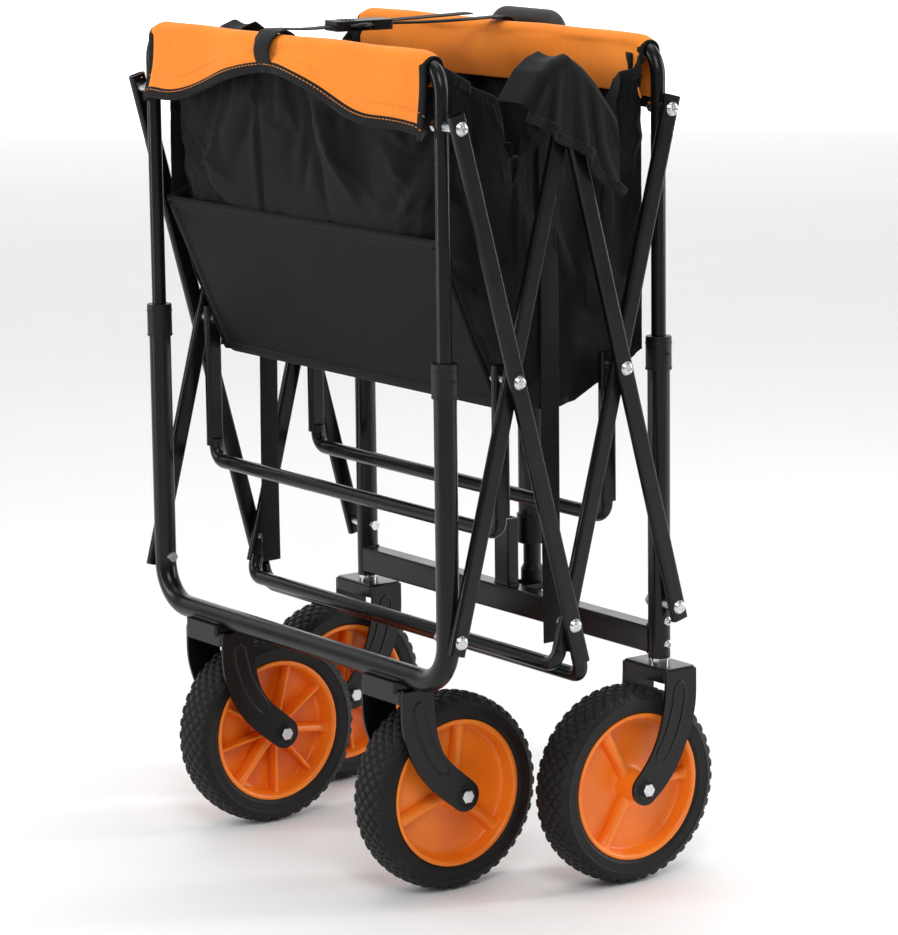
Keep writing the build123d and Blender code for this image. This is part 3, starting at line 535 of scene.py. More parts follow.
def rim_spoke(angle, width, base, top_hub, top_rim, roundness):
    """Radial ridge on the web, from the hub boss out to the barrel."""
    steps, ring = 14, 11
    verts = []
    for i in range(steps + 1):
        t = i / steps
        radius = 0.0110 + t * 0.0500
        flare = 1 + 0.55 * (abs(2 * t - 1) ** 5)
        top = top_hub + t * (top_rim - top_hub)
        for k in range(ring):
            turn = math.pi * k / (ring - 1)
            across = -math.copysign(abs(math.cos(turn)) ** roundness, math.cos(turn)) * width / 2 * flare
            rise = math.sin(turn) ** roundness
            outward = base + (top - base) * rise
            x = radius * math.cos(angle) - across * math.sin(angle)
            z = radius * math.sin(angle) + across * math.cos(angle)
            verts.append(Vector((x, outward, z)))
    faces = grid_faces(steps + 1, ring, closed_columns=True)
    faces += [tuple(range(ring)), tuple(range(steps * ring, (steps + 1) * ring))[::-1]]
    return verts, faces


def rim_mesh_data():
    """Rim whose outer face looks along +Y."""
    around = 128
    verts = [Vector((r * math.cos(2 * math.pi * i / around), a, r * math.sin(2 * math.pi * i / around)))
             for i in range(around) for a, r in rim_profile]
    parts = [(verts, grid_faces(around, len(rim_profile), True, True))]
    for i in range(3):
        parts.append(rim_spoke(math.radians(90 + 120 * i), 0.0105, 0.0030, 0.0150, 0.0125, 0.75))
    for i in range(9):
        wide = i % 3 == 0
        parts.append(rim_spoke(math.radians(10 + 40 * i), 0.0080 if wide else 0.0032, 0.0010,
                               -0.0160, -0.0120, 0.55 if wide else 0.3))
    return join_parts(parts)


tyre_data, rim_data = tyre_mesh_data(), rim_mesh_data()
wheel_turns = {"rear_wheel_left": 18.0, "rear_wheel_right": 10.0, "front_wheel_left": 50.0,
               "front_wheel_right": -30.0}
for name, turn in wheel_turns.items():
    side = SIDES[name.split("_")[-1]]
    centre = joint_at[f"{name}_spin"]
    outward = Matrix.Rotation(0 if side > 0 else math.pi, 3, "Z")
    facing = Matrix.Rotation(math.radians(turn), 3, "Y") @ outward
    for part, data, material, slot_name in (("tyre", tyre_data, tyre_rubber, "tyre"),
                                            ("rim", rim_data, orange_plastic, "orange_plastic")):
        points = (np.array(data[0]) @ np.array(facing).T) + np.array(centre)
        piece = mesh_piece(f"{name}_{part}_moulding", points.tolist(), data[1], material, name, slot_name)
        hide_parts(f"{name}_{part}")
        if part == "rim":
            soften = piece.modifiers.new("eased_edges", "BEVEL")
            soften.width, soften.segments, soften.limit_method = 0.0004, 1, "ANGLE"
            soften.angle_limit = math.radians(50)


# ---- end bands ----
# Orange coated polyester folded over each hoop's top bar, bound in black tape along its
# outer edge and ends. The closing strap's loop gathers the rear band into a bow.
# Plain weave: thread relief for the bump, and a colour signal that adds yarn tone to painted shade in the
# hollows between threads.
weave, weave_in, weave_out = effect_group("plain_weave", {"Pitch": 0.0015}, ("Height", "Yarn_Tone_and_Weave_Shade"))
cloth_uv = wire(weave, "ShaderNodeUVMap").outputs[0]
parts_uv = wire(weave, "ShaderNodeSeparateXYZ", {0: cloth_uv})
turns = math_node(weave, "DIVIDE", 2 * math.pi, weave_in.outputs["Pitch"])
warp = math_node(weave, "SINE", math_node(weave, "MULTIPLY", parts_uv.outputs[0], turns))
weft = math_node(weave, "SINE", math_node(weave, "MULTIPLY", parts_uv.outputs[1], turns))
slub = wire(weave, "ShaderNodeTexNoise", {
    "Vector": wire(weave, "ShaderNodeMapping",
                   {"Vector": cloth_uv, "Scale": (380.0, 60.0, 1.0)}).outputs[0],
    "Scale": 1.0, "Detail": 3.0})
threads = math_node(weave, "MULTIPLY_ADD", math_node(weave, "MULTIPLY", warp, weft), 0.35, 0.5)
weave.links.new(math_node(weave, "MULTIPLY_ADD", slub.outputs["Fac"], 0.5, threads),
                weave_out.inputs["Height"])
# Colour signal: slub noise for the yarn tone, plus the thread relief, which paints shade into the hollows
# between threads.
weave.links.new(math_node(weave, "MULTIPLY_ADD", slub.outputs["Fac"], 0.6,
                          math_node(weave, "MULTIPLY", threads, 0.4)), weave_out.inputs["Yarn_Tone_and_Weave_Shade"])


def cloth_material(name, dark, light, rough, pitch, relief, sheen, fade=0.5):
    """Woven cloth: threads in relief, uneven tone along the yarn, shade painted into the hollows between
    threads, and a soft sheen.
    """
    material = bpy.data.materials.new(name)
    material.use_nodes = True
    tree = material.node_tree
    shader = tree.nodes["Principled BSDF"]
    threads = group_node(tree, weave, Pitch=pitch)
    surface = group_node(tree, grain, Scale=500.0, Patch=9.0)
    # Colour mixes yarn tone and grain with painted shade in the weave's hollows.
    tone = math_node(tree, "ADD", math_node(tree, "MULTIPLY", threads.outputs["Yarn_Tone_and_Weave_Shade"], 1 - fade),
                     math_node(tree, "MULTIPLY", surface.outputs["Tone"], fade))
    tree.links.new(ramp(tree, tone, (0.35, dark), (0.65, light)), shader.inputs["Base Color"])
    tree.links.new(ramp(tree, threads.outputs["Yarn_Tone_and_Weave_Shade"], (0.2, rough[0]), (0.8, rough[1])),
                   shader.inputs["Roughness"])
    bump = wire(tree, "ShaderNodeBump", {"Height": threads.outputs["Height"], "Strength": relief,
                                         "Distance": 0.0005})
    tree.links.new(bump.outputs[0], shader.inputs["Normal"])
    shader.inputs["Sheen Weight"].default_value = sheen
    shader.inputs["Sheen Roughness"].default_value = 0.45
    shader.inputs["Specular IOR Level"].default_value = 0.12
    return material


orange_cloth = cloth_material("orange_polyester", (0.86, 0.225, 0.018), (0.98, 0.30, 0.035),
                              (0.62, 0.78), 0.0013, 0.25, 0.08)
black_cloth = cloth_material("black_polyester", (0.0022, 0.0022, 0.0024), (0.0062, 0.0062, 0.0064),
                             (0.52, 0.70), 0.0015, 0.60, 0.015)
binding_tape = cloth_material("black_binding_tape", (0.0035, 0.0035, 0.0037), (0.0095, 0.0095, 0.0098),
                              (0.60, 0.78), 0.0022, 0.9, 0.04)
webbing = cloth_material("black_webbing", (0.0035, 0.0035, 0.0037), (0.0110, 0.0110, 0.0112),
                         (0.50, 0.66), 0.0030, 1.0, 0.04)
orange_thread = cloth_material("orange_thread", (0.70, 0.20, 0.03), (0.90, 0.34, 0.08),
                               (0.5, 0.6), 0.0006, 0.4, 0.1)
black_thread = cloth_material("black_thread", (0.012, 0.012, 0.012), (0.03, 0.03, 0.03),
                              (0.5, 0.6), 0.0006, 0.4, 0.1)


def cloth_grid(name, rows, columns, point, outer, inner=None, thickness=0.0010):
    """Cloth from a grid of points, point(u, v), with its lengths in its UV map; no thickness yet."""
    points = [Vector(point(i / (rows - 1), j / (columns - 1))) for i in range(rows) for j in range(columns)]
    piece = mesh_piece(name, points, grid_faces(rows, columns), outer)
    piece.data.materials.append(inner or outer)
    table = np.array(points).reshape(rows, columns, 3)
    across = np.concatenate([[0], np.cumsum(np.linalg.norm(np.diff(table[rows // 2], axis=0), axis=1))])
    down = np.concatenate([[0], np.cumsum(np.linalg.norm(np.diff(table[:, columns // 2], axis=0), axis=1))])
    layer = piece.data.uv_layers.new(name="cloth")
    for loop in piece.data.loops:
        row, column = divmod(loop.vertex_index, columns)
        layer.data[loop.index].uv = (across[column], down[row])
    piece["thickness"] = thickness
    return piece


def settle(piece):
    """Applies the piece's modifiers, so that its mesh is final."""
    view = bpy.context.evaluated_depsgraph_get()
    mesh = bpy.data.meshes.new_from_object(piece.evaluated_get(view), preserve_all_data_layers=True,
                                           depsgraph=view)
    piece.modifiers.clear()
    piece.data = mesh


def give_thickness(piece, smooth_levels=1, offset=0.0):
    """Turns a cloth surface into a thin closed sheet, its inner face in the second material."""
    if smooth_levels:
        round_off = piece.modifiers.new("smooth", "SUBSURF")
        round_off.levels = round_off.render_levels = smooth_levels
    solid = piece.modifiers.new("thickness", "SOLIDIFY")
    solid.thickness, solid.offset = piece["thickness"], offset
    solid.material_offset, solid.material_offset_rim = 1, 0
    settle(piece)


def crumple(piece, pinned, growth, steps, cap, bending=0.6):
    """Lets the cloth buckle: it grows a little between the edges that hold it."""
    mesh = piece.data
    rest = np.array([v.co for v in mesh.vertices], float)
    holds = piece.vertex_groups.new(name="held")
    for index in pinned:
        holds.add([index], 1.0, "REPLACE")
    modifier = piece.modifiers.new("cloth", "CLOTH")
    cloth = modifier.settings
    cloth.quality, cloth.mass, cloth.air_damping = 7, 0.25, 4.0
    cloth.tension_stiffness = cloth.compression_stiffness = 40.0
    cloth.shear_stiffness, cloth.bending_stiffness = 12.0, bending
    cloth.vertex_group_mass = "held"
    cloth.shrink_min = -growth
    cloth.effector_weights.gravity = 0.12
    modifier.collision_settings.use_collision = False
    modifier.point_cache.frame_start, modifier.point_cache.frame_end = 1, steps
    scene = bpy.context.scene
    for number in range(1, steps + 1):
        scene.frame_set(number)
    view = bpy.context.evaluated_depsgraph_get()
    moved = piece.evaluated_get(view).to_mesh()
    points = np.array([v.co for v in moved.vertices], float)
    piece.evaluated_get(view).to_mesh_clear()
    piece.modifiers.remove(modifier)
    piece.vertex_groups.remove(holds)
    shift = points - rest
    size = np.linalg.norm(shift, axis=1, keepdims=True)
    shift *= np.minimum(1.0, cap / np.maximum(size, 1e-9))
    mesh.vertices.foreach_set("co", (rest + shift).astype(np.float32).ravel())
    mesh.update()
    scene.frame_set(1)


def edge_points(piece, indices):
    return [piece.data.vertices[i].co.copy() for i in indices]


def smooth_step(value):
    value = max(0.0, min(1.0, value))
    return value * value * (3 - 2 * value)


def lengths_along(points):
    """How far along a line each of its points lies."""
    return np.concatenate([[0], np.cumsum([(b - a).length for a, b in zip(points, points[1:])])])


def tape_along(name, edge, inward, material, width=0.009, thickness=0.0026):
    """Flat binding tape folded over an edge; inward gives the way into the cloth at each point."""
    ring = 10
    verts = []
    for i, point in enumerate(edge):
        ahead = (edge[min(i + 1, len(edge) - 1)] - edge[max(i - 1, 0)]).normalized()
        into = inward[i] if isinstance(inward, list) else Vector(inward)
        into = (into - into.dot(ahead) * ahead).normalized()
        normal = ahead.cross(into).normalized()
        for k in range(ring):
            turn = 2 * math.pi * k / ring
            across = math.copysign(abs(math.cos(turn)) ** 0.6, math.cos(turn))
            rise = math.copysign(abs(math.sin(turn)) ** 0.6, math.sin(turn))
            verts.append(point + into * (width / 2 * (1 + across) - 0.0008) + normal * rise * thickness / 2)
    faces = grid_faces(len(edge), ring, closed_columns=True)
    faces += [tuple(range(ring)), tuple(range((len(edge) - 1) * ring, len(edge) * ring))[::-1]]
    piece = mesh_piece(name, verts, faces, material)
    lengths = lengths_along(edge)
    layer = piece.data.uv_layers.new(name="cloth")
    for loop in piece.data.loops:
        row, column = divmod(loop.vertex_index, ring)
        layer.data[loop.index].uv = (lengths[row], width * abs(1 - 2 * column / ring))
    return piece


def stitch_row(name, edge, inward, material, inset, lift, length=0.0030, pitch=0.0048, radius=0.00035):
    """Row of raised stitches that follows an edge at an inset, lifted off the cloth by lift."""
    lengths = lengths_along(edge)
    table = np.array(edge)
    parts = []

    def at(distance):
        return Vector([np.interp(distance, lengths, table[:, axis]) for axis in range(3)])

    distance = pitch
    while distance < lengths[-1] - pitch:
        start, end = at(distance), at(distance + length)
        ahead = (end - start).normalized()
        into = inward(distance / lengths[-1]) if callable(inward) else Vector(inward)
        into = (into - into.dot(ahead) * ahead).normalized()
        shift = into * inset + Vector(lift)
        path = [start + shift, (start + end) / 2 + shift + Vector(lift).normalized() * radius * 0.6,
                end + shift]
        parts.append(tube_points(path, lambda t: radius * (0.7 + 0.6 * math.sin(math.pi * t)), ring=6))
        distance += pitch
    return mesh_piece(name, *join_parts(parts), material)


hoop_top_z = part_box("rear_hoop")[1].z - 0.0065
hoop_bend = 0.026
band_wrap = 0.0092
band_half = 0.2150
band_flare = 0.0045
cinch_y = 0.0200
cinch_drop = 0.0215
band_drop = {"rear": 0.0595, "front": 0.0560}
band_inner = {"rear": 0.0240, "front": 0.0420}


def hoop_sag(y):
    """How far the hoop's bend has come down at this y."""
    past = max(0.0, abs(y) - (post_y - hoop_bend))
    return hoop_bend - math.sqrt(max(0.0, hoop_bend ** 2 - min(past, hoop_bend * 0.96) ** 2))


def band_point(end, u, v):
    """u runs from the band's inner edge over the bar to its outer edge, v from right to left."""
    x, way = (rear_x, 1) if end == "rear" else (front_x, -1)
    y = band_half * (2 * v - 1)
    top = hoop_top_z - 0.85 * hoop_sag(y)
    near = abs(y - cinch_y)
    pull = 1 - smooth_step(near / 0.165)
    strength = 1.0 if end == "rear" else 0.18
    drop = band_drop[end] - strength * (band_drop[end] - cinch_drop) * pull
    drop += 0.0014 * math.sin(19 * y + 0.6) + 0.0008 * math.sin(47 * y)
    inner = band_inner[end] * (1 - 0.25 * pull * strength) + 0.0015 * math.sin(16 * y + 1.0)
    arc = math.pi * band_wrap
    s = u * (inner + arc + drop)
    wave = 0.0012 * math.sin(26 * y + 9 * u) + 0.0009 * math.sin(61 * y - 5 * u + 1.3)
    if s < inner:
        below = inner - s
        roll = 0.0048 * math.sin(math.pi * min(1.0, below / inner)) * (1.0 if end == "front" else 0.4)
        return (x + way * (band_wrap + roll + wave * 0.8), y, top - below)
    if s < inner + arc:
        turn = (s - inner) / band_wrap
        return (x + way * band_wrap * math.cos(turn), y, top + band_wrap * math.sin(turn) + 0.3 * wave)
    below = s - inner - arc
    share = below / drop
    fan = math.sin(7.5 * math.atan2(below - 0.010, near + 0.010)) * math.exp(-(near / 0.085) ** 2)
    flare = band_flare * share ** 1.4 * (1 - 0.55 * pull) + 0.0020 * math.exp(-(near / 0.06) ** 2) * share
    swell = 0.0038 * math.exp(-((near - 0.050) / 0.032) ** 2) * math.sin(math.pi * min(1.0, share * 1.1))
    out = band_wrap + flare + swell + strength * 0.0016 * fan * share ** 0.5 + wave * share
    return (x - way * out, y * (1 + 0.012 * share), top - below)


def lean_in(near, far):
    """Unit vectors from an edge's points into the cloth, and the same as a function of the share along."""
    ways = [(b - a).normalized() for a, b in zip(near, far)]
    return ways, lambda share: ways[min(len(ways) - 1, int(share * len(ways)))]


for end, body in (("rear", "rear_hoop"), ("front", "front_hoop")):
    rows, columns = 44, 150
    band = cloth_grid(f"{end}_band", rows, columns, lambda u, v, end=end: band_point(end, u, v),
                      orange_cloth, thickness=0.0012)
    way = 1 if end == "rear" else -1
    outer_edge = edge_points(band, range((rows - 1) * columns, rows * columns))
    ways, way_at = lean_in(outer_edge, edge_points(band, range((rows - 6) * columns, (rows - 5) * columns)))
    ends = {name: edge_points(band, [row * columns + (columns - 1 if name == "left" else 0)
                                     for row in range(6, rows)]) for name in SIDES}
    give_thickness(band)
    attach(band, body)
    hem = tape_along(f"{end}_band_binding", outer_edge, ways, binding_tape, width=0.0105, thickness=0.0032)
    tapes = [hem]
    for name, side in SIDES.items():
        tapes.append(tape_along(f"{end}_band_{name}_binding", ends[name], (0, -side, 0), binding_tape,
                                width=0.009))
    seam = stitch_row(f"{end}_band_stitches", outer_edge, way_at, orange_thread, 0.0072,
                      (-way * 0.0020, 0, 0))
    fold_seam = stitch_row(f"{end}_band_fold_stitches", outer_edge, (0, 0, 1), orange_thread, 0.0200,
                           (-way * 0.0006, 0, 0), radius=0.00028)
    for tape in tapes:
        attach(tape, body)
    for row in (seam, fold_seam):
        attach(row, body)


# ---- end panels ----
# Black polyester hung inside each hoop, sewn to the orange band above and the floor
# below. Folded, the slack cloth bulges and creases around a vertical seam.
def soft_noise(x, y, seed=0.0):
    """Broad, smooth unevenness from a few crossed waves."""
    return (math.sin(x * 17.3 + 2.1 * seed + 3.1 * math.sin(y * 9.1 + seed)) * 0.5
            + math.sin(y * 23.7 - x * 11.9 + 1.7 * seed) * 0.3 + math.sin(x * 41.0 + y * 33.0 + seed) * 0.2)


def crease(x, z, start, end, width, depth):
    """Ridge or valley along a line across a panel, fading out at both ends."""
    ax, az, bx, bz = *start, *end
    length = math.hypot(bx - ax, bz - az)
    along = ((x - ax) * (bx - ax) + (z - az) * (bz - az)) / length ** 2
    off = abs((x - ax) * (bz - az) - (z - az) * (bx - ax)) / length
    fade = smooth_step(1 - abs(2 * along - 1)) if 0 < along < 1 else 0.0
    return depth * fade * math.exp(-(off / width) ** 1.4)


rear_creases = [((-0.010, 0.735), (-0.110, 0.590), 0.010, 0.011),
                ((-0.060, 0.700), (-0.205, 0.650), 0.009, -0.008),
                ((0.000, 0.735), (-0.060, 0.575), 0.007, -0.009),
                ((0.100, 0.730), (0.150, 0.590), 0.010, 0.010),
                ((0.030, 0.735), (0.110, 0.610), 0.009, -0.007),
                ((-0.120, 0.690), (-0.200, 0.590), 0.009, 0.010),
                ((0.165, 0.720), (0.205, 0.600), 0.008, -0.009),
                ((-0.030, 0.670), (-0.160, 0.600), 0.008, 0.007),
                ((-0.205, 0.690), (-0.120, 0.580), 0.009, -0.007),
                ((0.190, 0.660), (0.080, 0.600), 0.009, 0.007)]
front_creases = [((0.000, 0.735), (0.120, 0.560), 0.012, 0.011),
                 ((0.020, 0.720), (-0.110, 0.540), 0.011, -0.009),
                 ((-0.060, 0.735), (-0.190, 0.600), 0.010, 0.010),
                 ((0.180, 0.720), (0.060, 0.520), 0.010, -0.009),
                 ((-0.190, 0.700), (-0.080, 0.500), 0.010, -0.009)]
wall_half = 0.2090
seam_y = 0.055


def wall_point(end, u, v):
    """u from the band down to the floor board, v from right to left."""
    x, way = (rear_x, 1) if end == "rear" else (front_x, -1)
    top, low = (0.7340, 0.5740) if end == "rear" else (0.7340, 0.4900)
    y = wall_half * (2 * v - 1)
    z = top + (low - top) * u
    belly = math.sin(math.pi * u) * math.sin(math.pi * min(1, max(0, v))) ** 0.5
    swell = 0.0035 * belly * (0.6 + 0.8 * soft_noise(y, z, 1.0 if end == "rear" else 4.0))
    folds = sum(crease(y, z, *fold) for fold in (rear_creases if end == "rear" else front_creases))
    seam = (-0.0035 * math.exp(-((y - seam_y) / 0.0035) ** 2)
            + 0.0022 * math.exp(-((y - seam_y - 0.007) / 0.006) ** 2))
    corner = 0.010 * smooth_step((abs(y) - 0.175) / 0.034)
    inset = 0.0060 - (0.0 if end == "rear" else 0.001)
    return (x + way * (inset + corner + 0.010 * u - swell - 0.85 * folds * belly ** 0.5 - seam * belly), y,
            z)


for end, body, board in (("rear", "rear_hoop", "floor_board_1"), ("front", "front_hoop", "floor_board_4")):
    rows, columns = 52, 110
    wall = cloth_grid(f"{end}_wall", rows, columns, lambda u, v, end=end: wall_point(end, u, v),
                      black_cloth)
    pinned = [row * columns + column for row in range(rows) for column in range(columns)
              if row in (0, rows - 1) or column in (0, columns - 1)]
    crumple(wall, pinned, 0.05, 22, 0.009)
    give_thickness(wall, smooth_levels=1)
    low, high = wall_point(end, 1, 0.5), wall_point(end, 0, 0.5)
    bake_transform(wall)


# ---- side panels ----
# Each side of the tote is two lengths of black cloth from an end hoop to the middle
# hub. Folded, the slack hangs in pleats and its bound top edge dips in a deep V.
def outline(points, x):
    """Height at x on a line through the points."""
    xs, zs = zip(*points)
    return float(np.interp(x, xs, zs))


panel_start = 0.0105
hem_line = {
    "rear": [(rear_x + panel_start, 0.735), (-0.101, 0.727), (-0.078, 0.714), (-0.062, 0.706),
             (-0.050, 0.676),
             (-0.043, 0.630), (-0.037, 0.640), (-0.026, 0.706), (-0.014, 0.722), (hub_x, 0.727)],
    "front": [(hub_x, 0.727), (0.010, 0.729), (0.024, 0.716), (0.033, 0.694), (0.043, 0.672),
              (0.053, 0.690),
              (0.066, 0.714), (0.086, 0.721), (front_x - panel_start, 0.733)],
}
foot_line = {
    "rear": [(rear_x + panel_start, 0.575), (rear_x + 0.066, 0.440), (hub_x, 0.434)],
    "front": [(hub_x, 0.434), (hub_x + 0.030, 0.438), (front_x - panel_start, 0.476)],
}
panel_inside = 0.2137
panel_outside = 0.2192
board_top_z = 0.655
pleats = {"rear": [(-0.094, 0.005, 0.004), (-0.082, 0.005, -0.009), (-0.066, 0.006, 0.005),
                   (-0.043, 0.008, -0.020), (-0.022, 0.007, 0.005)],
          "front": [(0.008, 0.006, 0.005), (0.024, 0.005, -0.009), (0.043, 0.007, -0.017),
                    (0.062, 0.007, 0.005), (0.078, 0.005, -0.008), (0.090, 0.005, 0.004)]}


def side_point(end, side, u, v):
    """u from the bound top edge down, v along from rear to front."""
    start, stop = (rear_x + panel_start, hub_x) if end == "rear" else (hub_x, front_x - panel_start)
    x = start + (stop - start) * v
    top, foot = outline(hem_line[end], x), outline(foot_line[end], x)
    z = top + (foot - top) * u
    lean = 0.006 * math.sin(9 * u + 2.0 * side) * u
    out = sum(height * math.exp(-((x - place + lean) / width) ** 2) for place, width, height in pleats[end])
    ends = smooth_step(v / 0.10) * smooth_step((1 - v) / 0.10)
    fade = 0.40 + 0.60 * math.exp(-((u - 0.25) / 0.38) ** 2)
    ripple = 0.0022 * soft_noise(x * 2.2, z, 2.0 + side) + 0.0016 * math.sin(90 * z + 60 * x)
    out = ends * (0.0020 + fade * out + ripple)
    above = smooth_step((z - board_top_z) / 0.035)
    out = min(panel_outside - panel_inside, max(0.0006 - 0.030 * above, out))
    return (x, side * (panel_inside + out), z)


def spread(points, sub):
    """Points along a line, closer together than those given."""
    between = [points[i].lerp(points[i + 1], k / sub) for i in range(len(points) - 1) for k in range(sub)]
    return between + [points[-1]]


for end, body, half in (("rear", "rear_hoop", "tote_rear_half"),
                        ("front", "front_hoop", "tote_front_half")):
    hoop_x = rear_x if end == "rear" else front_x
    start, stop = (hoop_x + (0.010 if end == "rear" else -0.010), 0, 0.6), (hub_x, 0, 0.6)
    for name, side in SIDES.items():
        rows, columns = 64, 84
        panel = cloth_grid(f"{end}_side_{name}", rows, columns,
                           lambda u, v, end=end, side=side: side_point(end, side, u, v), black_cloth)
        hem_edge = spread(edge_points(panel, range(columns)), 2)
        foot_edge = spread(edge_points(panel, range((rows - 1) * columns, rows * columns)), 2)
        pinned = [row * columns + column for row in range(rows) for column in range(columns)
                  if row in (0, rows - 1) or column in (0, columns - 1)]
        crumple(panel, pinned, 0.045, 20, 0.004)
        panel_mesh = panel.data
        for vertex in panel_mesh.vertices:
            above = smooth_step((vertex.co.z - board_top_z) / 0.035)
            inward_limit = panel_inside + 0.0006 - 0.030 * above
            vertex.co.y = side * min(panel_outside, max(abs(vertex.co.y), inward_limit))
        give_thickness(panel, smooth_levels=1)
        hem = tape_along(f"{end}_side_{name}_hem", hem_edge, (0, 0, -1), binding_tape, width=0.0100)
        foot = tape_along(f"{end}_side_{name}_foot", foot_edge, (0, 0, 1), binding_tape, width=0.0080)
        stitches = stitch_row(f"{end}_side_{name}_stitches", hem_edge, (0, 0, -1), black_thread, 0.0074,
                              (0, side * 0.0015, 0))
        for piece in (panel, hem, foot, stitches):
            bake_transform(piece)
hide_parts("tote_rear_sides")
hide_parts("tote_front_sides")
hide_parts("tote_rear_end")
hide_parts("tote_front_end")


# ---- floor gussets ----
# Side walls of the open tote's floor trough: cloth flaps that stand on the outer floor
# boards and lie hidden inside the folded tote.
gusset_y = 0.2120
gussets = {"floor_board_1": ((rear_x + 0.004, 0.588), (rear_x + 0.068, 0.441), (0.9168, 0.3993), 0.100,
                             0.050),
           "floor_board_4": ((front_x - 0.010, 0.4868), (rear_x + 0.112, 0.441), (-0.3313, 0.9435), 0.070,
                             0.050),
           "floor_board_2": ((rear_x + 0.075, 0.443), (rear_x + 0.086, 0.652), (-0.9986, 0.0525), 0.016,
                             0.016),
           "floor_board_3": ((rear_x + 0.0994, 0.652), (rear_x + 0.1064, 0.444), (0.9994, 0.0337), 0.016,
                             0.016)}
for board, (outer, inner, rise, tall, short) in gussets.items():
    for name, side in SIDES.items():
        def gusset_point(u, v, outer=outer, inner=inner, rise=rise, tall=tall, short=short, side=side):
            foot = (outer[0] + (inner[0] - outer[0]) * v, outer[1] + (inner[1] - outer[1]) * v)
            height = (tall + (short - tall) * v) * u
            return (foot[0] + rise[0] * height, side * gusset_y, foot[1] + rise[1] * height)
        flap = cloth_grid(f"{board}_gusset_{name}", 12, 24, gusset_point, black_cloth, thickness=0.0008)
        give_thickness(flap, smooth_levels=0)
        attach(flap, board)


# ---- hub tents ----
# Where the side bars cross at the top, the side panels are cut to drape out over the
# hub: a pointed hood each side, its free edge bound and pleated.
tent_peak = (-0.015, 0.7425)
tent_ridge = [(-0.060, 0.703), (-0.041, 0.729), (-0.028, 0.738), tent_peak, (0.000, 0.732), (0.012, 0.720),
              (0.034, 0.690)]
tent_edge = [(-0.060, 0.690), (-0.036, 0.676), (-0.014, 0.664), (0.008, 0.645), (0.034, 0.618)]
tent_out = 0.2610


def tent_point(side, u, v):
    """u from inside the tote out over the ridge and down, v from rear to front."""
    x = tent_ridge[0][0] + (tent_ridge[-1][0] - tent_ridge[0][0]) * v
    ridge, edge = outline(tent_ridge, x), outline(tent_edge, x)
    over, turn = 0.30, 0.42
    from_peak = x - tent_peak[0]
    if u < over:
        share = u / over
        sag = 0.004 * math.sin(math.pi * share) * (0.5 + 0.5 * math.cos(55 * x))
        return (x, side * (panel_inside + 0.003 + (0.2500 - panel_inside - 0.003) * share), ridge - sag)
    if u < turn:
        angle = math.pi / 2 * (u - over) / (turn - over)
        return (x, side * (0.2500 + (tent_out - 0.2500) * math.sin(angle)),
                ridge - 0.008 * (1 - math.cos(angle)))
    share = (u - turn) / (1 - turn)
    z = ridge - 0.008 + (edge - ridge + 0.008) * share
    fan = math.sin(from_peak * (330 - 150 * share) + 0.7 * side)
    deep = 0.0028 * share ** 0.7 * fan + 0.0015 * soft_noise(x * 3, z * 2, 3.0)
    return (x + 0.004 * share * math.sin(from_peak * 160), side * (tent_out + 0.0008 + max(-0.0006, deep)),
            z)


for name, side in SIDES.items():
    rows, columns = 56, 76
    tent = cloth_grid(f"hub_tent_{name}", rows, columns, lambda u, v, side=side: tent_point(side, u, v),
                      black_cloth)
    free_edge = spread(edge_points(tent, range((rows - 1) * columns, rows * columns)), 2)
    give_thickness(tent)
    edge_tape = tape_along(f"hub_tent_{name}_binding", free_edge, (0, 0, 1), binding_tape, width=0.0095)
    edge_stitches = stitch_row(f"hub_tent_{name}_stitches", free_edge, (0, 0, 1), black_thread, 0.0072,
                               (0, side * 0.0015, 0))
    for piece in (tent, edge_tape, edge_stitches):
        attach(piece, "tote_rear_half")
    if side > 0:
        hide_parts("tote_hub_flaps")


# ---- webbing straps ----
# A strap on each side runs from the top hub's hood down to the bottom hub. A loop
# gathers the rear band, and a strap with a buckle crosses the top to hold the wagon shut.
def ribbon(name, path, width_way, width, thickness=0.0016, material=webbing):
    """Webbing along a path, its width lying along width_way, with its lengths in its UV map."""
    path = spread([Vector(p) for p in path], 3)
    verts, ring = [], 12
    for i, point in enumerate(path):
        ahead = (path[min(i + 1, len(path) - 1)] - path[max(i - 1, 0)]).normalized()
        wide = Vector(width_way)
        wide = (wide - wide.dot(ahead) * ahead).normalized()
        normal = ahead.cross(wide)
        for k in range(ring):
            turn = 2 * math.pi * k / ring
            across = math.copysign(abs(math.cos(turn)) ** 0.35, math.cos(turn))
            rise = math.copysign(abs(math.sin(turn)) ** 0.7, math.sin(turn))
            verts.append(point + wide * across * width / 2 + normal * rise * thickness / 2)
    faces = grid_faces(len(path), ring, closed_columns=True)
    faces += [tuple(range(ring)), tuple(range((len(path) - 1) * ring, len(path) * ring))[::-1]]
    piece = mesh_piece(name, verts, faces, material)
    lengths = lengths_along(path)
    layer = piece.data.uv_layers.new(name="cloth")
    for loop in piece.data.loops:
        row, column = divmod(loop.vertex_index, ring)
        layer.data[loop.index].uv = (lengths[row], width / 2 * (1 + math.cos(2 * math.pi * column / ring)))
    return piece


strap_width = 0.020
strap_top, strap_foot = 0.706, 0.228
for name, side in SIDES.items():
    path = [(hub_x + 0.0012 * math.sin(14 * z), side * (panel_outside + 0.0018 * math.sin(9 * z + side)), z)
            for z in np.linspace(strap_top, strap_foot, 60)]
    strap = ribbon(f"side_strap_{name}", path, (1, 0, 0), strap_width)
    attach(strap, "tote_rear_half")
    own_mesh(strap)
    if side > 0:
        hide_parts("side_straps")

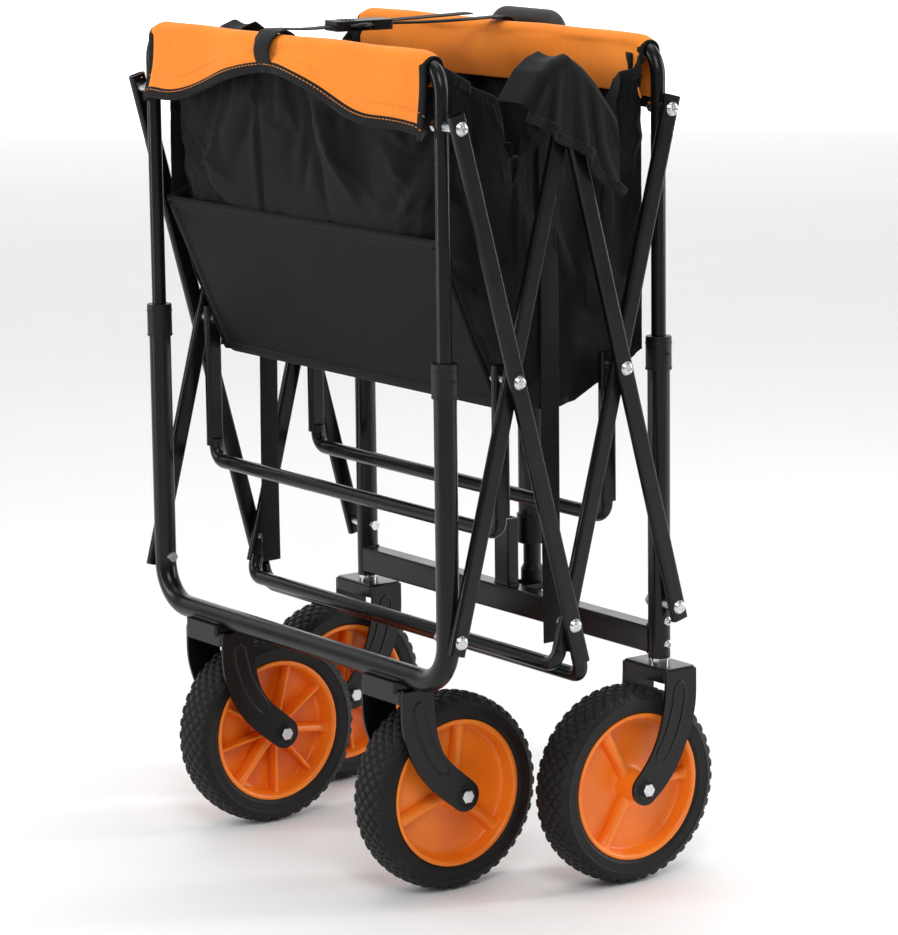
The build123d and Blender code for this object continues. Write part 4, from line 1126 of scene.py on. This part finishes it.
cinch_width = 0.024
cinch_path = []
for i in range(41):
    turn = 2 * math.pi * i / 40
    reach = 0.0162 + 0.001 * math.cos(2 * turn)
    height = 0.0172 if math.sin(turn) > 0 else 0.0215
    cinch_path.append((rear_x + 0.0005 - reach * math.cos(turn), cinch_y,
                       hoop_top_z - 0.0045 + height * math.sin(turn)))
cinch = ribbon("cinch_loop", cinch_path, (0, 1, 0), cinch_width)
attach(cinch, "rear_hoop")

strap_z = 0.7525
socket_low, socket_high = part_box("buckle_socket")
plug_low, plug_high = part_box("buckle_plug")
plug_mid = (plug_low + plug_high) / 2
socket_mid = (socket_low + socket_high) / 2


def strap_path(start, end, steps, dip):
    start, end = Vector(start), Vector(end)
    return [start.lerp(end, i / steps) - Vector((0, 0, dip * math.sin(math.pi * i / steps)))
            for i in range(steps + 1)]


sewn_end = 0.0135
rear_run = strap_path((rear_x + sewn_end, 0.0283, strap_z),
                      (socket_low.x + 0.006, socket_mid.y + 0.001, strap_z), 16, 0.0012)
front_run = strap_path((plug_high.x - 0.004, plug_mid.y - 0.001, strap_z),
                       (front_x - sewn_end, 0.0017, strap_z), 16, 0.0010)
for name, run in (("closing_strap_rear", rear_run), ("closing_strap_front", front_run)):
    strap = ribbon(f"{name}_webbing", run, (0, 1, 0), strap_width)
    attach(strap, name)
    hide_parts(name)
for name, body, x, way, y in (("rear", "rear_hoop", rear_x, 1, 0.0275),
                              ("front", "front_hoop", front_x, -1, 0.0010)):
    tab_path = [(x + way * (sewn_end - 0.0006), y, strap_z), (x + way * 0.007, y, strap_z + 0.0002),
                (x, y, strap_z + 0.0004), (x - way * 0.006, y, strap_z - 0.0012),
                (x - way * 0.0108, y, strap_z - 0.0066), (x - way * 0.0122, y, strap_z - 0.0130)]
    tab = ribbon(f"{name}_strap_tab", tab_path, (0, 1, 0), strap_width)
    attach(tab, body)
tail_run = strap_path((plug_high.x + 0.003, plug_mid.y - 0.001, strap_z + 0.0024),
                      (front_x - 0.035, 0.003, strap_z + 0.0050), 12, 0.0)
tail = ribbon("closing_strap_tail", tail_run, (0, 1, 0), 0.0195)
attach(tail, "closing_strap_front")
dress(black_nylon, "buckle_socket", "buckle_plug")

# The plug's two spring prongs show in the socket's side windows.
prongs = []
for way in (-1, 1):
    y = plug_mid.y + way * 0.0090
    prong = [(plug_low.x + 0.002, y, strap_z), (plug_low.x - 0.006, y + way * 0.0040, strap_z),
             (plug_low.x - 0.013, y + way * 0.0066, strap_z),
             (plug_low.x - 0.020, y + way * 0.0066, strap_z),
             (plug_low.x - 0.026, y + way * 0.0030, strap_z)]
    prongs.append(tube_points(spread([Vector(p) for p in prong], 4),
                              lambda t: 0.0016 + 0.0014 * math.sin(math.pi * t), 12))
for x in (socket_low.x + 0.012, socket_low.x + 0.016, socket_low.x + 0.020):
    ridge_line = [(x, socket_mid.y + y, socket_high.z) for y in (-0.007, -0.003, 0.003, 0.007)]
    prongs.append(tube_points(ridge_line, lambda t: 0.0009, 8))
mesh_piece("buckle_prongs", *join_parts(prongs[:2]), black_nylon, "closing_strap_front", "black_plastic")
mesh_piece("buckle_ridges", *join_parts(prongs[2:]), black_nylon, "closing_strap_rear", "black_plastic")


# ---- padded floor boards ----
# Stiff boards in black cloth covers, bound round the edges with stitched tape; the
# outer one shows as a plain flat panel under the rear band.
board_lines = {"floor_board_1": ((rear_x + 0.004, 0.588), (rear_x + 0.068, 0.441), 1),
               "floor_board_2": ((rear_x + 0.075, 0.443), (rear_x + 0.086, 0.652), -1),
               "floor_board_3": ((rear_x + 0.0994, 0.652), (rear_x + 0.1064, 0.444), -1),
               "floor_board_4": ((rear_x + 0.112, 0.441), (front_x + 0.011 - 0.020, 0.4845), -1)}
board_half = 0.2105
board_thick = 0.0044


def board_cover(name, outer, inner, puff):
    """Closed cover of one board: a thin pillow with flat faces and rounded edges."""
    rows, columns = 34, 80
    a, b = Vector((outer[0], 0, outer[1])), Vector((inner[0], 0, inner[1]))
    along = (b - a).normalized()
    normal = Vector((-along.z, 0, along.x))
    verts = []
    for face in (1, -1):
        for i in range(rows):
            for j in range(columns):
                u, v = i / (rows - 1), j / (columns - 1)
                rim = min(1.0, min(u, 1 - u) * (b - a).length / 0.004,
                          min(v, 1 - v) * 2 * board_half / 0.004)
                rise = board_thick / 2 * math.sqrt(1 - (1 - rim) ** 2)
                ripple = 1 + 0.5 * soft_noise(v * 0.5, u * 0.3)
                rise += puff * math.sin(math.pi * u) * math.sin(math.pi * v) * ripple
                point = a.lerp(b, u) + Vector((0, board_half * (2 * v - 1), 0)) + face * rise * normal
                verts.append(point)
    half = rows * columns
    front_faces = grid_faces(rows, columns)
    faces = front_faces + [tuple(half + k for k in face[::-1]) for face in front_faces]
    border = ([j for j in range(columns)] + [i * columns + columns - 1 for i in range(1, rows)]
              + [(rows - 1) * columns + j for j in range(columns - 2, -1, -1)]
              + [i * columns for i in range(rows - 2, 0, -1)])
    faces += [(p, half + p, half + q, q) for p, q in zip(border, border[1:] + border[:1])]
    piece = mesh_piece(f"{name}_cover", verts, faces, black_cloth)
    layer = piece.data.uv_layers.new(name="cloth")
    for loop in piece.data.loops:
        row, column = divmod(loop.vertex_index % half, columns)
        layer.data[loop.index].uv = (column / (columns - 1) * 2 * board_half,
                                     row / (rows - 1) * (b - a).length)
    return piece, a, b, normal


for name, (outer, inner, face) in board_lines.items():
    cover, a, b, normal = board_cover(name, outer, inner, 0.0006)
    corners = [a + Vector((0, board_half, 0)), a - Vector((0, board_half, 0)),
               b - Vector((0, board_half, 0)),
               b + Vector((0, board_half, 0))]
    along = (b - a).normalized()
    edges = [(corners[0], corners[1], along), (corners[1], corners[2], Vector((0, 1, 0))),
             (corners[3], corners[2], -along), (corners[0], corners[3], Vector((0, -1, 0)))]
    tapes, rows_of_stitches = [], []
    for k, (start, end, into) in enumerate(edges):
        run = [start.lerp(end, i / 40) for i in range(41)]
        tapes.append(tape_along(f"{name}_binding_{k}", run, into, binding_tape, width=0.0100,
                                thickness=board_thick + 0.0010))
        rows_of_stitches.append(stitch_row(f"{name}_stitches_{k}", run, into, black_thread, 0.0078,
                                           -normal * face * 0.0028))
    for piece in (cover, *tapes, *rows_of_stitches):
        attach(piece, name)
    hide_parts(name)

# Cloth hinges bridge the gaps between neighbouring boards when the floor lies flat.
hinge_lines = {
    "rear_valley": ([(0.0662, 0.4450), (0.0690, 0.4388), (0.0718, 0.4372), (0.0745, 0.4388),
                     (0.0752, 0.4460)],
                    "floor_board_1", "floor_board_2"),
    "front_valley": ([(0.1140, 0.4420), (0.1115, 0.4384), (0.1088, 0.4372), (0.1065, 0.4388),
                      (0.1062, 0.4470)],
                     "floor_board_4", "floor_board_3"),
    "middle_fold": ([(0.0858, 0.6500), (0.0860, 0.6540), (0.0862, 0.6580), (0.0864, 0.6620),
                     (0.0866, 0.6655)],
                    "floor_board_2", None),
}
for name, (line, body, other) in hinge_lines.items():
    def hinge_point(u, v, line=line):
        place = u * (len(line) - 1)
        start = min(int(place), len(line) - 2)
        x, z = (line[start][k] + (line[start + 1][k] - line[start][k]) * (place - start) for k in (0, 1))
        return (rear_x + x, board_half * 0.99 * (2 * v - 1), z)
    strip = cloth_grid(f"floor_{name}_hinge", 13, 60, hinge_point, black_cloth, thickness=0.0009)
    give_thickness(strip, smooth_levels=0)
    if other:
        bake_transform(strip)
    else:
        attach(strip, body)


# ---- studio ----
# Pale floor and backdrop, big soft lights, and the camera off the wagon's rear right corner.
def studio_material(name, tone, glow=0.0):
    material = bpy.data.materials.new(name)
    material.use_nodes = True
    tree = material.node_tree
    shader = tree.nodes["Principled BSDF"]
    surface = group_node(tree, grain, Scale=60.0, Patch=1.5)
    tree.links.new(ramp(tree, surface.outputs["Tone"], (0.3, tone - 0.01), (0.7, tone + 0.01)),
                   shader.inputs["Base Color"])
    shader.inputs["Roughness"].default_value = 0.7
    tree.links.new(ramp(tree, surface.outputs["Tone"], (0.3, 0.99), (0.7, 1.0)),
                   shader.inputs["Emission Color"])
    shader.inputs["Emission Strength"].default_value = glow
    return material


floor_reach = 30.0
floor = mesh_piece("studio_floor", [(-floor_reach, -floor_reach, 0), (floor_reach, -floor_reach, 0),
                                    (floor_reach, floor_reach, 0), (-floor_reach, floor_reach, 0)],
                   [(0, 1, 2, 3)], studio_material("studio_white", 0.93))
camera_azimuth, camera_elevation, camera_roll = math.radians(-36.07), math.radians(11.22), math.radians(-0.70)
away = Vector((-math.sin(camera_azimuth), math.cos(camera_azimuth), 0))
aside = Vector((away.y, -away.x, 0))
wall_far, wall_wide, wall_tall = 6.0, 12.0, 8.0
wall_foot = [away * wall_far + aside * wall_wide * way for way in (-1, 1)]
wall_head = [point + Vector((0, 0, wall_tall)) for point in wall_foot[::-1]]
backdrop = mesh_piece("studio_backdrop", wall_foot + wall_head, [(0, 1, 2, 3)],
                      studio_material("studio_backlit_white", 0.90, glow=1.0))

world = bpy.data.worlds.new("studio_surround")
bpy.context.scene.world = world
world.use_nodes = True
world.node_tree.nodes["Background"].inputs["Color"].default_value = (1.0, 1.0, 1.0, 1.0)
world.node_tree.nodes["Background"].inputs["Strength"].default_value = 0.32


def soft_light(name, place, target, size, power):
    light = bpy.data.lights.new(name, "AREA")
    light.shape, light.size, light.size_y, light.energy = "RECTANGLE", size[0], size[1], power
    lamp = bpy.data.objects.new(name, light)
    bpy.context.scene.collection.objects.link(lamp)
    lamp.location = place
    lamp.rotation_euler = (Vector(target) - Vector(place)).to_track_quat("-Z", "Y").to_euler()
    return lamp


middle = (0.0, 0.0, 0.4)
soft_light("key_softbox", (-1.6, -2.4, 2.6), middle, (1.2, 1.6), 46.0)
soft_light("right_strip", (2.3, -1.3, 1.1), middle, (0.35, 1.8), 30.0)
soft_light("left_strip", (-2.2, 1.2, 1.0), middle, (0.35, 1.8), 22.0)
soft_light("top_softbox", (0.2, 0.2, 3.0), middle, (2.0, 2.0), 34.0)

camera_place = Vector((-2.1492, -3.0098, 1.0527))
back = Vector((math.sin(camera_azimuth) * math.cos(camera_elevation),
               -math.cos(camera_azimuth) * math.cos(camera_elevation), math.sin(camera_elevation)))
level_right = Vector((math.cos(camera_azimuth), math.sin(camera_azimuth), 0))
level_up = back.cross(level_right)
right = math.cos(camera_roll) * level_right + math.sin(camera_roll) * level_up
up = -math.sin(camera_roll) * level_right + math.cos(camera_roll) * level_up
view = bpy.data.cameras.new("studio_camera")
view.sensor_width = 36.0
view.lens = 159.2
view.shift_y = 0.0345
camera = bpy.data.objects.new("studio_camera", view)
bpy.context.scene.collection.objects.link(camera)
camera.matrix_world = Matrix.Translation(camera_place) @ Matrix((right, up, back)).transposed().to_4x4()
bpy.context.scene.camera = camera
bpy.context.scene.view_settings.view_transform = "Standard"
